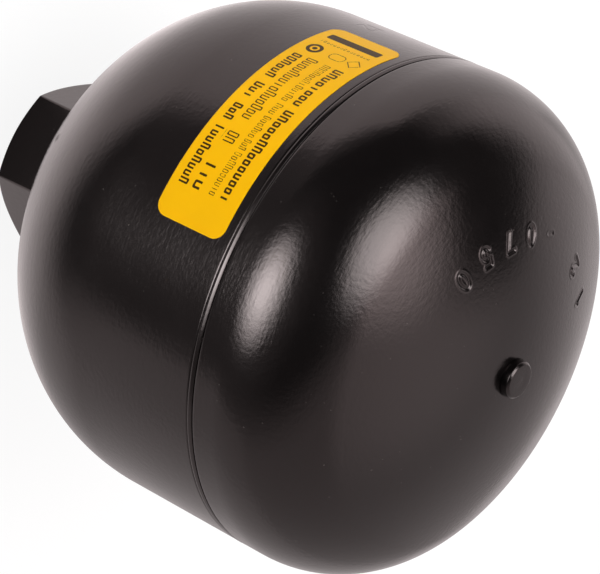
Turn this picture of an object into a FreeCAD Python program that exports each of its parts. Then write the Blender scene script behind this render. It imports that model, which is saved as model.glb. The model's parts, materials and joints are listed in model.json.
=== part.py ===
"""Welded diaphragm accumulator, 0.75 litre class, sealed for life.

Two deep-drawn steel shells are welded round the girth.  The lower one is the oil side, with a
hexagon forged on its crown and a G 1/2 port in it.  The upper one is the gas side, closed for
good by a plug at its crown.  Between them a rubber diaphragm hangs from a bead under a clamp
ring, and the steel button in its middle closes the oil passage when the oil is gone.

Millimetres.  The axis is +Z, the port face is the plane z = 0, and the origin is its centre.
"""
import FreeCAD, Part
import Sketcher
import math
import os

V = FreeCAD.Vector

# Driving dimensions: alias, value, meaning.
SIZES = [
    ("shell_diameter", "121", "outside diameter of both shells"),
    ("shell_wall", "6.5", "wall of both shells"),
    ("oil_crown_radius", "81", "outside radius of the oil shell's crown"),
    ("oil_knuckle_radius", "47.5", "outside radius of the oil shell's shoulder"),
    ("oil_skirt_length", "34", "straight stretch of the oil shell"),
    ("gas_crown_radius", "105", "outside radius of the gas shell's crown"),
    ("gas_knuckle_radius", "26", "outside radius of the gas shell's shoulder"),
    ("gas_skirt_length", "6.4", "straight stretch of the gas shell"),
    ("neck_length", "18.8", "port face to the oil shell's crown"),
    ("hexagon_width", "38", "hexagon across its flats"),
    ("hexagon_face_diameter", "36", "round port face left by the hexagon's chamfer"),
    ("hexagon_chamfer_angle", "30", "chamfer of the hexagon, from the port face, in degrees"),
    ("neck_root_radius", "2.5", "fillet where the hexagon grows out of the crown"),
    ("thread_diameter", "20.955", "major diameter of the port's thread"),
    ("thread_length", "14", "depth of the thread"),
    ("thread_chamfer", "0.8", "chamfer at the mouth of the thread"),
    ("relief_depth", "0.4", "undercut beyond the thread's major diameter, each side"),
    ("relief_length", "2", "length of the undercut"),
    ("drill_point_angle", "118", "point angle of the core drill, in degrees"),
    ("passage_diameter", "12", "oil passage into the chamber"),
    ("seat_diameter", "35", "flat that the valve button closes on"),
    ("seat_rise", "1.7", "flat above the lowest point of the inner wall"),
    ("button_diameter", "30", "valve button"),
    ("button_thickness", "4", "valve button"),
    ("button_rounding", "1.2", "rounding of the button's upper edge"),
    ("diaphragm_thickness", "2.5", "rubber"),
    ("diaphragm_clearance", "0.4", "rubber to the inner wall"),
    ("pocket_clearance", "0.5", "rubber to the button's edge"),
    ("middle_root_radius", "1.2", "fillet round the diaphragm's thick middle"),
    ("bead_height", "4.5", "bead round the diaphragm's rim"),
    ("ledge_depth", "8.8", "ledge under the bead, below the girth"),
    ("recess_depth", "2.5", "recess for bead and clamp ring, into the wall"),
    ("ring_height", "8.4", "clamp ring"),
    ("ring_rounding", "0.8", "rounding of the clamp ring's inner edges"),
    ("ring_fit", "0.1", "clamp ring to the recess"),
    ("weld_preparation", "0.9", "chamfer of both shells at the girth, each way"),
    ("weld_toe", "0.65", "bead's toe on the chamfer, from the girth plane"),
    ("weld_crown", "0.08", "bead above the shells"),
    ("plug_diameter", "8.8", "head of the gas plug"),
    ("plug_height", "2.2", "head above the gas shell's crown"),
    ("plug_chamfer", "0.5", "edge of the head"),
    ("plug_stem_diameter", "5", "stem of the gas plug"),
    ("plug_stem_fit", "0.05", "stem to the fill hole, each side"),
    ("spot_face_diameter", "9.6", "flat round the plug"),
    ("spot_face_depth", "0.25", "flat below the gas shell's crown"),
    ("label_width", "19.3", "label along the axis"),
    ("label_length", "66.7", "label round the shell"),
    ("label_thickness", "0.08", "label"),
    ("label_corner_radius", "3", "corners of the label"),
    ("label_seam_distance", "3.2", "label's upper edge below the girth"),
    ("label_glue", "0.01", "adhesive under the label"),
    ("label_azimuth", "-87.4", "middle of the label, in degrees from +X"),
]

# Values worked out from the driving dimensions: alias and formula.
DERIVED = [
    ("shell_radius", "=sizes.shell_diameter / 2"),
    ("inner_radius", "=shell_radius - sizes.shell_wall"),
    ("recess_radius", "=inner_radius + sizes.recess_depth"),
    ("oil_offset", "=shell_radius - sizes.oil_knuckle_radius"),
    ("oil_reach", "=sizes.oil_crown_radius - sizes.oil_knuckle_radius"),
    ("oil_drop", "=sqrt(oil_reach ^ 2 - oil_offset ^ 2)"),
    ("oil_centre_height", "=sizes.neck_length + sizes.oil_crown_radius"),
    ("oil_tangent_height", "=oil_centre_height - oil_drop"),
    ("girth_height", "=oil_tangent_height + sizes.oil_skirt_length"),
    ("gas_offset", "=shell_radius - sizes.gas_knuckle_radius"),
    ("gas_reach", "=sizes.gas_crown_radius - sizes.gas_knuckle_radius"),
    ("gas_drop", "=sqrt(gas_reach ^ 2 - gas_offset ^ 2)"),
    ("gas_tangent_height", "=girth_height + sizes.gas_skirt_length"),
    ("gas_centre_height", "=gas_tangent_height - gas_drop"),
    ("gas_pole_height", "=gas_centre_height + sizes.gas_crown_radius"),
    ("oil_inner_pole_height", "=sizes.neck_length + sizes.shell_wall"),
    ("seat_height", "=oil_inner_pole_height + sizes.seat_rise"),
    ("ledge_height", "=girth_height - sizes.ledge_depth"),
    ("ring_base_height", "=ledge_height + sizes.bead_height"),
    ("ring_top_height", "=ring_base_height + sizes.ring_height"),
    ("recess_top_height", "=ring_top_height + sizes.ring_fit"),
    ("relief_radius", "=sizes.thread_diameter / 2 + sizes.relief_depth"),
    ("relief_end_height", "=sizes.thread_length + sizes.relief_length"),
    ("passage_radius", "=sizes.passage_diameter / 2"),
    ("cone_length", "=(relief_radius - passage_radius) / tan(sizes.drill_point_angle * 1 deg / 2)"),
    ("hexagon_corner_radius", "=sizes.hexagon_width / sqrt(3)"),
    ("button_top_height", "=seat_height + sizes.button_thickness"),
    ("pocket_radius", "=sizes.button_diameter / 2 + sizes.pocket_clearance"),
    ("spot_face_height", "=gas_pole_height - sizes.spot_face_depth"),
    ("label_radius", "=shell_radius + sizes.label_glue"),
    ("label_half_chord", "=label_radius * sin(sizes.label_length / label_radius / 2 * 1 rad)"),
    ("label_top_height", "=girth_height - sizes.label_seam_distance"),
]


def fill_sheet(doc, name, rows):
    """A spreadsheet with one named row for each value: name, value, meaning."""
    sheet = doc.addObject("Spreadsheet::Sheet", name)
    for line, row in enumerate(rows, start=1):
        alias, value = row[:2]
        sheet.set("A%d" % line, alias)
        sheet.set("B%d" % line, value)
        sheet.setAlias("B%d" % line, alias)
        if len(row) > 2:
            sheet.set("C%d" % line, row[2])
    doc.recompute()
    return sheet


doc = FreeCAD.newDocument("accumulator")
sizes = fill_sheet(doc, "sizes", SIZES)
derived = fill_sheet(doc, "derived", DERIVED)


def number(expression):
    """The present value of an expression in the words of the two sheets."""
    return float(derived.evalExpression(expression))


def add_body(label):
    """A sub-part, whose label names its file."""
    body = doc.addObject("PartDesign::Body", label + "_body")
    body.Label = label
    return body


def origin_plane(body, role):
    return [item for item in body.Origin.OriginFeatures if item.Role == role][0]


def arc_centre(start, end, radius, side):
    """Centre of an arc, left of its chord for side +1 and right of it for side -1."""
    chord = end - start
    middle = (start + end) / 2
    height = math.sqrt(max(radius ** 2 - (chord.Length / 2) ** 2, 0))
    across = V(-chord.y, chord.x, 0).normalize()
    return middle + across * height * side


def bearing(direction):
    return math.atan2(direction.y, direction.x)


def half_section(body, name, corners):
    """A closed sketch in the XZ plane: radius along X, height along Z."""
    return closed_sketch(body, name, "XZ_Plane", corners)


def closed_sketch(body, name, plane, corners):
    """A closed sketch whose every corner is held by expressions.

    A corner is (across, height).  A corner with two more entries starts an arc, of that
    radius, with its centre left (+1) or right (-1) of the way to the next corner.
    """
    sketch = body.newObject("Sketcher::SketchObject", name)
    sketch.AttachmentSupport = [(origin_plane(body, plane), "")]
    sketch.MapMode = "FlatFace"
    points = [V(number(corner[0]), number(corner[1]), 0) for corner in corners]
    for index, corner in enumerate(corners):
        start = points[index]
        end = points[(index + 1) % len(points)]
        if len(corner) == 2:
            sketch.addGeometry(Part.LineSegment(start, end))
            continue
        radius = number(corner[2])
        centre = arc_centre(start, end, radius, corner[3])
        first, last = (start, end) if corner[3] > 0 else (end, start)
        from_angle = bearing(first - centre)
        to_angle = bearing(last - centre)
        if to_angle < from_angle:
            to_angle += 2 * math.pi
        circle = Part.Circle(centre, V(0, 0, 1), radius)
        sketch.addGeometry(Part.ArcOfCircle(circle, from_angle, to_angle))
    ends = [edge_ends(sketch, index, points[index]) for index in range(len(corners))]
    for index, corner in enumerate(corners):
        following = (index + 1) % len(corners)
        sketch.addConstraint(
            Sketcher.Constraint("Coincident", index, ends[index][1], following, ends[following][0])
        )
        pin(sketch, "DistanceX", index, ends[index][0], corner[0])
        pin(sketch, "DistanceY", index, ends[index][0], corner[1])
        if len(corner) > 2:
            bound = sketch.addConstraint(Sketcher.Constraint("Radius", index, number(corner[2])))
            sketch.setExpression("Constraints[%d]" % bound, corner[2])
    return sketch


def edge_ends(sketch, index, start):
    """Which of an edge's two ends is the given start: arcs always run anticlockwise."""
    first = sketch.Geometry[index].StartPoint
    return (1, 2) if first.distanceToPoint(start) < 1e-6 else (2, 1)


def pin(sketch, kind, index, end, expression):
    """Hold one coordinate of a point at an expression, or on the axis where it is zero."""
    if expression == "0":
        axis = -2 if kind == "DistanceX" else -1
        sketch.addConstraint(Sketcher.Constraint("PointOnObject", index, end, axis))
        return
    bound = sketch.addConstraint(
        Sketcher.Constraint(kind, -1, 1, index, end, number(expression))
    )
    sketch.setExpression("Constraints[%d]" % bound, expression)


def turn(body, kind, sketch, name):
    """Revolution or Groove of a half section, all the way round the axis."""
    feature = body.newObject("PartDesign::" + kind, name)
    feature.Profile = sketch
    feature.ReferenceAxis = (sketch, ["V_Axis"])
    feature.Angle = 360
    doc.recompute()
    return feature


def remove(body, sketch, name):
    """A Groove that is seen to take material away."""
    before = body.Shape.Volume
    feature = turn(body, "Groove", sketch, name)
    if not body.Shape.Volume < before:
        raise RuntimeError(name + " cuts nothing")
    return feature


def dome_join(side, radius, above):
    """Where crown and shoulder of one head meet, for a crown of the given radius.

    above is +1 for the gas head and -1 for the oil head, which hangs below its centre.
    """
    share = "(%s) / derived.%s_reach" % (radius, side)
    return (
        "derived.%s_offset * %s" % (side, share),
        "derived.%s_centre_height %s derived.%s_drop * %s"
        % (side, "+" if above > 0 else "-", side, share),
    )


def oil_crown_height(radius, at):
    """Height of an oil-side crown of the given radius at a distance from the axis."""
    return "derived.oil_centre_height - sqrt((%s) ^ 2 - (%s) ^ 2)" % (radius, at)


def make_oil_shell():
    """The deep-drawn oil shell with its hexagon and port, one forging."""
    body = add_body("fluid_shell")
    outer_crown = "sizes.oil_crown_radius"
    outer_knuckle = "sizes.oil_knuckle_radius"
    inner_crown = "sizes.oil_crown_radius - sizes.shell_wall"
    inner_knuckle = "sizes.oil_knuckle_radius - sizes.shell_wall"
    seat = "sizes.seat_diameter / 2"
    wall = half_section(body, "fluid_shell_wall", [
        ("0", "sizes.neck_length", outer_crown, 1),
        dome_join("oil", outer_crown, -1) + (outer_knuckle, 1),
        ("derived.shell_radius", "derived.oil_tangent_height"),
        ("derived.shell_radius", "derived.girth_height - sizes.weld_preparation"),
        ("derived.shell_radius - sizes.weld_preparation", "derived.girth_height"),
        ("derived.recess_radius", "derived.girth_height"),
        ("derived.recess_radius", "derived.ledge_height"),
        ("derived.inner_radius", "derived.ledge_height"),
        ("derived.inner_radius", "derived.oil_tangent_height", inner_knuckle, -1),
        dome_join("oil", inner_crown, -1) + (inner_crown, -1),
        ("0", "derived.oil_inner_pole_height"),
    ])
    turn(body, "Revolution", wall, "fluid_shell_drawn")

    # Seat of the valve button: a low boss on the inner crown, spot-faced flat.
    boss = half_section(body, "seat_boss_section", [
        ("0", "sizes.neck_length + sizes.shell_wall / 2"),
        (seat, "sizes.neck_length + sizes.shell_wall / 2"),
        (seat, "derived.seat_height"),
        ("0", "derived.seat_height"),
    ])
    turn(body, "Revolution", boss, "seat_boss")
    facing = half_section(body, "seat_facing_section", [
        ("0", "derived.seat_height"),
        (seat, "derived.seat_height"),
        (seat, "derived.button_top_height"),
        ("0", "derived.button_top_height"),
    ])
    turn(body, "Groove", facing, "seat_facing")

    # Hexagon, with a corner on -Y, from the port face into the crown's wall.
    outline = body.newObject("Sketcher::SketchObject", "hexagon_outline")
    outline.AttachmentSupport = [(origin_plane(body, "XY_Plane"), "")]
    outline.MapMode = "FlatFace"
    corner = number("derived.hexagon_corner_radius")
    angles = [math.radians(-90 + 60 * step) for step in range(6)]
    points = [V(corner * math.cos(a), corner * math.sin(a), 0) for a in angles]
    for step in range(6):
        outline.addGeometry(Part.LineSegment(points[step], points[(step + 1) % 6]))
    circle = outline.addGeometry(Part.Circle(V(0, 0, 0), V(0, 0, 1), corner), True)
    outline.addConstraint(Sketcher.Constraint("Coincident", circle, 3, -1, 1))
    for step in range(6):
        following = (step + 1) % 6
        outline.addConstraint(Sketcher.Constraint("Coincident", step, 2, following, 1))
        outline.addConstraint(Sketcher.Constraint("PointOnObject", step, 1, circle))
        if step:
            outline.addConstraint(Sketcher.Constraint("Equal", 0, step))
    outline.addConstraint(Sketcher.Constraint("PointOnObject", 0, 1, -2))
    bound = outline.addConstraint(Sketcher.Constraint("Radius", circle, corner))
    outline.setExpression("Constraints[%d]" % bound, "derived.hexagon_corner_radius")
    hexagon = body.newObject("PartDesign::Pad", "hexagon")
    hexagon.Profile = outline
    hexagon.setExpression("Length", "derived.oil_inner_pole_height")
    doc.recompute()

    # Fillet round the hexagon's root: the pad's edges that lie on the crown.
    root = [
        "Edge%d" % index
        for index, edge in enumerate(hexagon.Shape.Edges, start=1)
        if is_root_edge(edge)
    ]
    fillet = body.newObject("PartDesign::Fillet", "hexagon_root")
    fillet.Base = (hexagon, root)
    fillet.setExpression("Radius", "sizes.neck_root_radius")
    doc.recompute()

    rim = "derived.hexagon_corner_radius * 1.1"
    rise = " * tan(sizes.hexagon_chamfer_angle * 1 deg)"
    chamfer = half_section(body, "hexagon_chamfer_section", [
        ("sizes.hexagon_face_diameter / 2", "0"),
        (rim, "0"),
        (rim, "(%s - sizes.hexagon_face_diameter / 2)%s" % (rim, rise)),
    ])
    remove(body, chamfer, "hexagon_chamfer")

    port = half_section(body, "port_section", [
        ("0", "0"),
        ("sizes.thread_diameter / 2 + sizes.thread_chamfer", "0"),
        ("sizes.thread_diameter / 2", "sizes.thread_chamfer"),
        ("sizes.thread_diameter / 2", "sizes.thread_length"),
        ("derived.relief_radius", "sizes.thread_length"),
        ("derived.relief_radius", "derived.relief_end_height"),
        ("derived.passage_radius", "derived.relief_end_height + derived.cone_length"),
        ("derived.passage_radius", "derived.seat_height"),
        ("0", "derived.seat_height"),
    ])
    remove(body, port, "port")
    return body


def is_root_edge(edge):
    """An edge where a flat of the hexagon runs into the crown, above the port face."""
    box = edge.BoundBox
    inside = box.XMax ** 2 < (number("derived.hexagon_corner_radius") * 1.01) ** 2
    low = number("sizes.neck_length")
    high = number("derived.oil_inner_pole_height")
    reach = max(math.hypot(point.X, point.Y) for point in edge.Vertexes)
    apothem = number("sizes.hexagon_width / 2")
    on_crown = box.ZMin > low and box.ZMax < high
    return on_crown and inside and reach > apothem


def make_gas_shell():
    """The flatter gas shell with the spot face and hole for its plug."""
    body = add_body("gas_shell")
    outer_crown = "sizes.gas_crown_radius"
    outer_knuckle = "sizes.gas_knuckle_radius"
    inner_crown = "sizes.gas_crown_radius - sizes.shell_wall"
    inner_knuckle = "sizes.gas_knuckle_radius - sizes.shell_wall"
    inner_pole = "derived.gas_pole_height - sizes.shell_wall"
    hole = "sizes.plug_stem_diameter / 2 + sizes.plug_stem_fit"
    wall = half_section(body, "gas_shell_wall", [
        ("0", "derived.gas_pole_height", outer_crown, -1),
        dome_join("gas", outer_crown, 1) + (outer_knuckle, -1),
        ("derived.shell_radius", "derived.gas_tangent_height"),
        ("derived.shell_radius", "derived.girth_height + sizes.weld_preparation"),
        ("derived.shell_radius - sizes.weld_preparation", "derived.girth_height"),
        ("derived.recess_radius", "derived.girth_height"),
        ("derived.recess_radius", "derived.recess_top_height"),
        ("derived.inner_radius", "derived.recess_top_height"),
        ("derived.inner_radius", "derived.gas_tangent_height", inner_knuckle, 1),
        dome_join("gas", inner_crown, 1) + (inner_crown, 1),
        ("0", inner_pole),
    ])
    turn(body, "Revolution", wall, "gas_shell_drawn")
    bore = half_section(body, "plug_hole_section", [
        ("0", inner_pole + " - sizes.plug_height"),
        (hole, inner_pole + " - sizes.plug_height"),
        (hole, "derived.spot_face_height"),
        ("sizes.spot_face_diameter / 2", "derived.spot_face_height"),
        ("sizes.spot_face_diameter / 2", "derived.gas_pole_height + sizes.plug_height"),
        ("0", "derived.gas_pole_height + sizes.plug_height"),
    ])
    remove(body, bore, "plug_hole")
    return body


def make_girth_weld():
    """The weld bead, in the V between the two shells' chamfers and a little proud."""
    body = add_body("girth_weld")
    root = "derived.shell_radius - sizes.weld_preparation"
    toe = root + " + sizes.weld_toe"
    rise = "(sizes.weld_preparation - sizes.weld_toe + sizes.weld_crown)"
    crown_radius = "(sizes.weld_toe ^ 2 + %s ^ 2) / (2 * %s)" % (rise, rise)
    section = half_section(body, "girth_weld_section", [
        (root, "derived.girth_height"),
        (toe, "derived.girth_height - sizes.weld_toe", crown_radius, 1),
        (toe, "derived.girth_height + sizes.weld_toe"),
    ])
    turn(body, "Revolution", section, "girth_weld_bead")
    return body


def make_clamp_ring():
    """The steel band that presses the diaphragm's bead on its ledge and backs the weld."""
    body = add_body("clamp_ring")
    outer = "derived.recess_radius - sizes.ring_fit"
    section = half_section(body, "clamp_ring_section", [
        ("derived.inner_radius + sizes.ring_rounding", "derived.ring_base_height"),
        (outer, "derived.ring_base_height"),
        (outer, "derived.ring_top_height"),
        (
            "derived.inner_radius + sizes.ring_rounding", "derived.ring_top_height",
            "sizes.ring_rounding", 1,
        ),
        ("derived.inner_radius", "derived.ring_top_height - sizes.ring_rounding"),
        (
            "derived.inner_radius", "derived.ring_base_height + sizes.ring_rounding",
            "sizes.ring_rounding", 1,
        ),
    ])
    turn(body, "Revolution", section, "clamp_ring_band")
    return body


def round_off(body, base, radius, height, size):
    """A fillet on the circular edge of that radius that lies nearest to a height."""
    circles = [
        (abs(edge.BoundBox.ZMin - height), index)
        for index, edge in enumerate(base.Shape.Edges, start=1)
        if abs(edge.BoundBox.XMax - radius) < 0.01 and edge.BoundBox.ZLength < 0.01
    ]
    fillet = body.newObject("PartDesign::Fillet", base.Name + "_fillet")
    fillet.Base = (base, ["Edge%d" % min(circles)[1]])
    fillet.setExpression("Radius", size)
    doc.recompute()
    return fillet


def make_diaphragm():
    """The rubber diaphragm as it rests on the oil side, with its bead on the ledge."""
    body = add_body("diaphragm")
    under_gap = "sizes.shell_wall + sizes.diaphragm_clearance"
    upper_gap = under_gap + " + sizes.diaphragm_thickness"
    middle_gap = under_gap + " + sizes.diaphragm_thickness / 2"
    under_crown = "sizes.oil_crown_radius - (%s)" % under_gap
    upper_crown = "sizes.oil_crown_radius - (%s)" % upper_gap
    middle_crown = "sizes.oil_crown_radius - (%s)" % middle_gap
    under_knuckle = "sizes.oil_knuckle_radius - (%s)" % under_gap
    upper_knuckle = "sizes.oil_knuckle_radius - (%s)" % upper_gap
    outside = "derived.shell_radius - (%s)" % under_gap
    inside = "derived.shell_radius - (%s)" % upper_gap
    rim = "derived.recess_radius - sizes.ring_fit"
    skin = half_section(body, "diaphragm_skin_section", [
        ("0", "sizes.neck_length + " + under_gap, under_crown, 1),
        dome_join("oil", under_crown, -1) + (under_knuckle, 1),
        (outside, "derived.oil_tangent_height"),
        (outside, "derived.ledge_height"),
        (rim, "derived.ledge_height"),
        (rim, "derived.ring_base_height"),
        (inside, "derived.ring_base_height"),
        (inside, "derived.oil_tangent_height", upper_knuckle, -1),
        dome_join("oil", upper_crown, -1) + (upper_crown, -1),
        ("0", "sizes.neck_length + " + upper_gap),
    ])
    turn(body, "Revolution", skin, "diaphragm_skin")

    # Thick middle over the button, and the pocket that holds the button.
    upper_face = "derived.button_top_height + sizes.diaphragm_thickness"
    side = "derived.pocket_radius + sizes.diaphragm_thickness"
    middle = half_section(body, "diaphragm_middle_section", [
        ("0", "sizes.neck_length + " + middle_gap),
        (side, oil_crown_height(middle_crown, side)),
        (side, upper_face),
        ("0", upper_face),
    ])
    thickened = turn(body, "Revolution", middle, "diaphragm_middle")
    skin_level = oil_crown_height(upper_crown, side)
    root = "min(sizes.middle_root_radius; 0.4 * (%s - (%s)))" % (upper_face, skin_level)
    round_off(body, thickened, number(side), number(skin_level), root)
    pocket = half_section(body, "button_pocket_section", [
        ("0", "derived.oil_inner_pole_height"),
        ("derived.pocket_radius", "derived.oil_inner_pole_height"),
        ("derived.pocket_radius", "derived.button_top_height"),
        ("0", "derived.button_top_height"),
    ])
    remove(body, pocket, "button_pocket")
    return body


def make_valve_button():
    """The steel button bonded under the diaphragm, closed on its flat seat."""
    body = add_body("valve_button")
    edge = "sizes.button_diameter / 2"
    section = half_section(body, "valve_button_section", [
        ("0", "derived.seat_height"),
        (edge, "derived.seat_height"),
        (edge, "derived.button_top_height - sizes.button_rounding", "sizes.button_rounding", 1),
        (edge + " - sizes.button_rounding", "derived.button_top_height"),
        ("0", "derived.button_top_height"),
    ])
    turn(body, "Revolution", section, "valve_button_disc")
    return body


def make_gas_plug():
    """The plug that seals the fill hole: a stem in the wall and a chamfered head."""
    body = add_body("gas_plug")
    head = "sizes.plug_diameter / 2"
    stem = "sizes.plug_stem_diameter / 2"
    top = "derived.gas_pole_height + sizes.plug_height"
    section = half_section(body, "gas_plug_section", [
        ("0", "derived.gas_pole_height - sizes.shell_wall"),
        (stem, "derived.gas_pole_height - sizes.shell_wall"),
        (stem, "derived.spot_face_height"),
        (head, "derived.spot_face_height"),
        (head, top + " - sizes.plug_chamfer"),
        (head + " - sizes.plug_chamfer", top),
        ("0", top),
    ])
    turn(body, "Revolution", section, "gas_plug_turned")
    return body


def make_label():
    """The label on the oil shell: a thin curved sheet with round corners.

    Its outline is padded outwards along X, and all but a thin shell round the axis is turned
    away.
    """
    body = add_body("label")
    side = "derived.label_half_chord"
    low = "derived.label_top_height - sizes.label_width"
    top = "derived.label_top_height"
    corner = "sizes.label_corner_radius"
    outline = closed_sketch(body, "label_outline", "YZ_Plane", [
        ("%s - %s" % (corner, side), low),
        ("%s - %s" % (side, corner), low, corner, 1),
        (side, "%s + %s" % (low, corner)),
        (side, "%s - %s" % (top, corner), corner, 1),
        ("%s - %s" % (side, corner), top),
        ("%s - %s" % (corner, side), top, corner, 1),
        ("-" + side, "%s - %s" % (top, corner)),
        ("-" + side, "%s + %s" % (low, corner), corner, 1),
    ])
    block = body.newObject("PartDesign::Pad", "label_block")
    block.Profile = outline
    block.setExpression("Length", "sizes.shell_diameter")
    doc.recompute()

    outer = "derived.label_radius + sizes.label_thickness"
    below = "%s - sizes.label_width" % low
    above = "%s + sizes.label_width" % top
    core = half_section(body, "label_core_section", [
        ("0", below),
        ("derived.label_radius", below),
        ("derived.label_radius", above),
        ("0", above),
    ])
    remove(body, core, "label_inside")
    surround = half_section(body, "label_surround_section", [
        (outer, below),
        ("2 * sizes.shell_diameter", below),
        ("2 * sizes.shell_diameter", above),
        (outer, above),
    ])
    remove(body, surround, "label_outside")
    body.Placement = FreeCAD.Placement(V(0, 0, 0), FreeCAD.Rotation(V(0, 0, 1), 1))
    body.setExpression("Placement.Rotation.Angle", "sizes.label_azimuth")
    return body


bodies = [
    make_oil_shell(),
    make_gas_shell(),
    make_girth_weld(),
    make_clamp_ring(),
    make_diaphragm(),
    make_valve_button(),
    make_gas_plug(),
    make_label(),
]
doc.recompute()

for item in doc.Objects:
    if {"Invalid", "Error"} & set(item.State):
        raise RuntimeError("%s is %s" % (item.Name, item.State))
for body in bodies:
    shape = body.Shape
    if shape.isNull() or not shape.isValid() or len(shape.Solids) != 1:
        raise RuntimeError(body.Label + " is not one valid solid")

os.makedirs("parts", exist_ok=True)
for body in bodies:
    body.Shape.exportStep("parts/%s.step" % body.Label)
    print("%s: %.1f mm3" % (body.Label, body.Shape.Volume))
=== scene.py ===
# %% [markdown]
# # A welded diaphragm accumulator
# The object is a small pressure vessel of the 0.75 litre class: two deep-drawn steel cups, welded
# together round the girth and sprayed black. The oil side ends in a forged hexagon with a threaded
# port, the gas side in a small plug. A rubber diaphragm with a steel button hangs inside.
#
# The CAD model is loaded first and never changed. Every piece made below stands for one of its
# nodes, in the same place and at the same size, and adds what a CAD solid leaves out.

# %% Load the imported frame
import json
import math

import bpy
import numpy as np
from mathutils import Matrix, Vector

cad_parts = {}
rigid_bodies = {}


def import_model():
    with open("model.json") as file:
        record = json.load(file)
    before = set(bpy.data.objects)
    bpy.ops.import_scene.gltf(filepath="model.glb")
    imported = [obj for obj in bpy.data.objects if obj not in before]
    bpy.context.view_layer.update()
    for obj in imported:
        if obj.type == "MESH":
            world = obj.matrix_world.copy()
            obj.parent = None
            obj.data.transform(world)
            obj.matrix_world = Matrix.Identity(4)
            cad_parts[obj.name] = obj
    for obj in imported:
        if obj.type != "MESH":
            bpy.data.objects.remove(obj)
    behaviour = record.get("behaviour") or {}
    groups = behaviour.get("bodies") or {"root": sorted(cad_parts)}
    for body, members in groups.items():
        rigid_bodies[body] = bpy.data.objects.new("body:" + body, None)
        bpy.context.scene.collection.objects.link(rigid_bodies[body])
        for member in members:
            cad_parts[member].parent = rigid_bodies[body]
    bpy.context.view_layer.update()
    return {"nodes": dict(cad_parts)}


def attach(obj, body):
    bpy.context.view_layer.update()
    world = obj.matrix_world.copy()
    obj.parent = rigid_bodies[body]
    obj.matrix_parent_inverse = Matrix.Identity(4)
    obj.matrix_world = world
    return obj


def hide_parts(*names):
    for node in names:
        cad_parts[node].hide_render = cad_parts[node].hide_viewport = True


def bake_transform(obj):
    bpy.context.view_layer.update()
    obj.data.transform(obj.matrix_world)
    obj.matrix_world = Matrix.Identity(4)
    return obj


for leftover in list(bpy.data.objects):
    bpy.data.objects.remove(leftover)
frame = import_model()

# %% [markdown]
# ## The camera
# The photograph looks down on the gas side from the front right, with a long lens, and the camera
# is rolled so that the vessel's axis runs from the upper left to the lower right. Its place was
# worked out from the vessel's outline. A camera's matrix holds four columns: to the right,
# upwards, backwards, and where it stands.

# %% Camera
MM = 0.001
CAMERA_PLACE = (0.281625, -0.432999, 0.424840)
TO_THE_RIGHT = (-0.63557697, 0.18221456, 0.75022648)
DOWNWARDS = (0.62652012, 0.68955663, 0.36329629)
FORWARDS = (-0.45112577, 0.70093474, -0.5524274)
LENS, SENSOR_WIDTH = 160.26, 36

camera = bpy.data.objects.new("camera", bpy.data.cameras.new("camera"))
bpy.context.scene.collection.objects.link(camera)
axes = (Vector(TO_THE_RIGHT), -Vector(DOWNWARDS), -Vector(FORWARDS))
turn = Matrix([[axis[row] for axis in axes] for row in range(3)]).to_4x4()
camera.matrix_world = Matrix.Translation(CAMERA_PLACE) @ turn
camera.data.lens = LENS
camera.data.sensor_width = SENSOR_WIDTH
camera.data.clip_start = 0.01
bpy.context.scene.camera = camera
print("camera is", round((Vector(CAMERA_PLACE) - Vector((0, 0, 0.1))).length, 3), "m away")

# %% [markdown]
# ## Curves for turned shapes
# Nearly everything here is turned, drawn or rolled, so it can be described by a half section: a
# line of (radius, height) points beside the axis. Straight runs and arcs are worked out as whole
# arrays. Each may differ from one column of the grid to the next, which is how the hexagon comes
# out of the same grid as the round dome above it.


# %% Straight runs and arcs
def straight(start, end, count):
    """Points at even shares of the way from start to end; a share s lies at (1-s) start + s end."""
    share = np.linspace(0, 1, count).reshape((-1,) + (1,) * np.ndim(start))
    return (1 - share) * np.asarray(start, float) + share * np.asarray(end, float)


def arc(centre, radius, degrees):
    """Centre plus radius times (cosine, sine) of each angle, in the half section."""
    angle = np.radians(degrees)
    return np.stack(
        [centre[0] + radius * np.cos(angle), centre[1] + radius * np.sin(angle)], axis=-1
    )


print("a quarter circle in 5 points:", arc((0, 0), 1, np.linspace(0, 90, 5)).round(2).tolist())

# %% [markdown]
# No edge of a real piece is quite sharp, and the thin line of light on an eased edge is what makes
# it look solid. A Bevel modifier could ease them all by one size. Here each corner of a section
# has its own, so it is rounded in the section, before that is turned into a piece.


# %% Eased corners and finer steps
def eased(before, corner, after, size, count=4):
    """A corner as a quadratic Bezier curve, from size before it to size after it.

    The curve is (1-t)^2 start + 2t(1-t) corner + t^2 end.
    """
    before, corner, after = (np.asarray(point, float) for point in (before, corner, after))
    back = before - corner
    ahead = after - corner
    start = corner + size * back / np.linalg.norm(back, axis=-1, keepdims=True)
    end = corner + size * ahead / np.linalg.norm(ahead, axis=-1, keepdims=True)
    t = np.linspace(0, 1, count).reshape((-1,) + (1,) * corner.ndim)
    return (1 - t) ** 2 * start + 2 * t * (1 - t) * corner + t**2 * end


def eased_outline(corners, sizes, closed=False):
    """A line through corners, each rounded by its own size; size 0 keeps the corner sharp."""
    corners = [np.asarray(point, float) for point in corners]
    runs = []
    for index, (corner, size) in enumerate(zip(corners, sizes)):
        inner = closed or 0 < index < len(corners) - 1
        if size and inner:
            following = corners[(index + 1) % len(corners)]
            runs.append(eased(corners[index - 1], corner, following, size))
        else:
            runs.append(corner[None])
    return np.concatenate(runs)


def finer(coarse, windows, step):
    """The coarse values, with a fine step inside each window (low, high)."""
    coarse = np.asarray(coarse, float)
    for low, high in windows:
        coarse = coarse[(coarse < low) | (coarse > high)]
    fine = [np.linspace(low, high, max(2, round((high - low) / step))) for low, high in windows]
    return np.unique(np.round(np.concatenate([coarse] + fine), 5))


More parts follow.
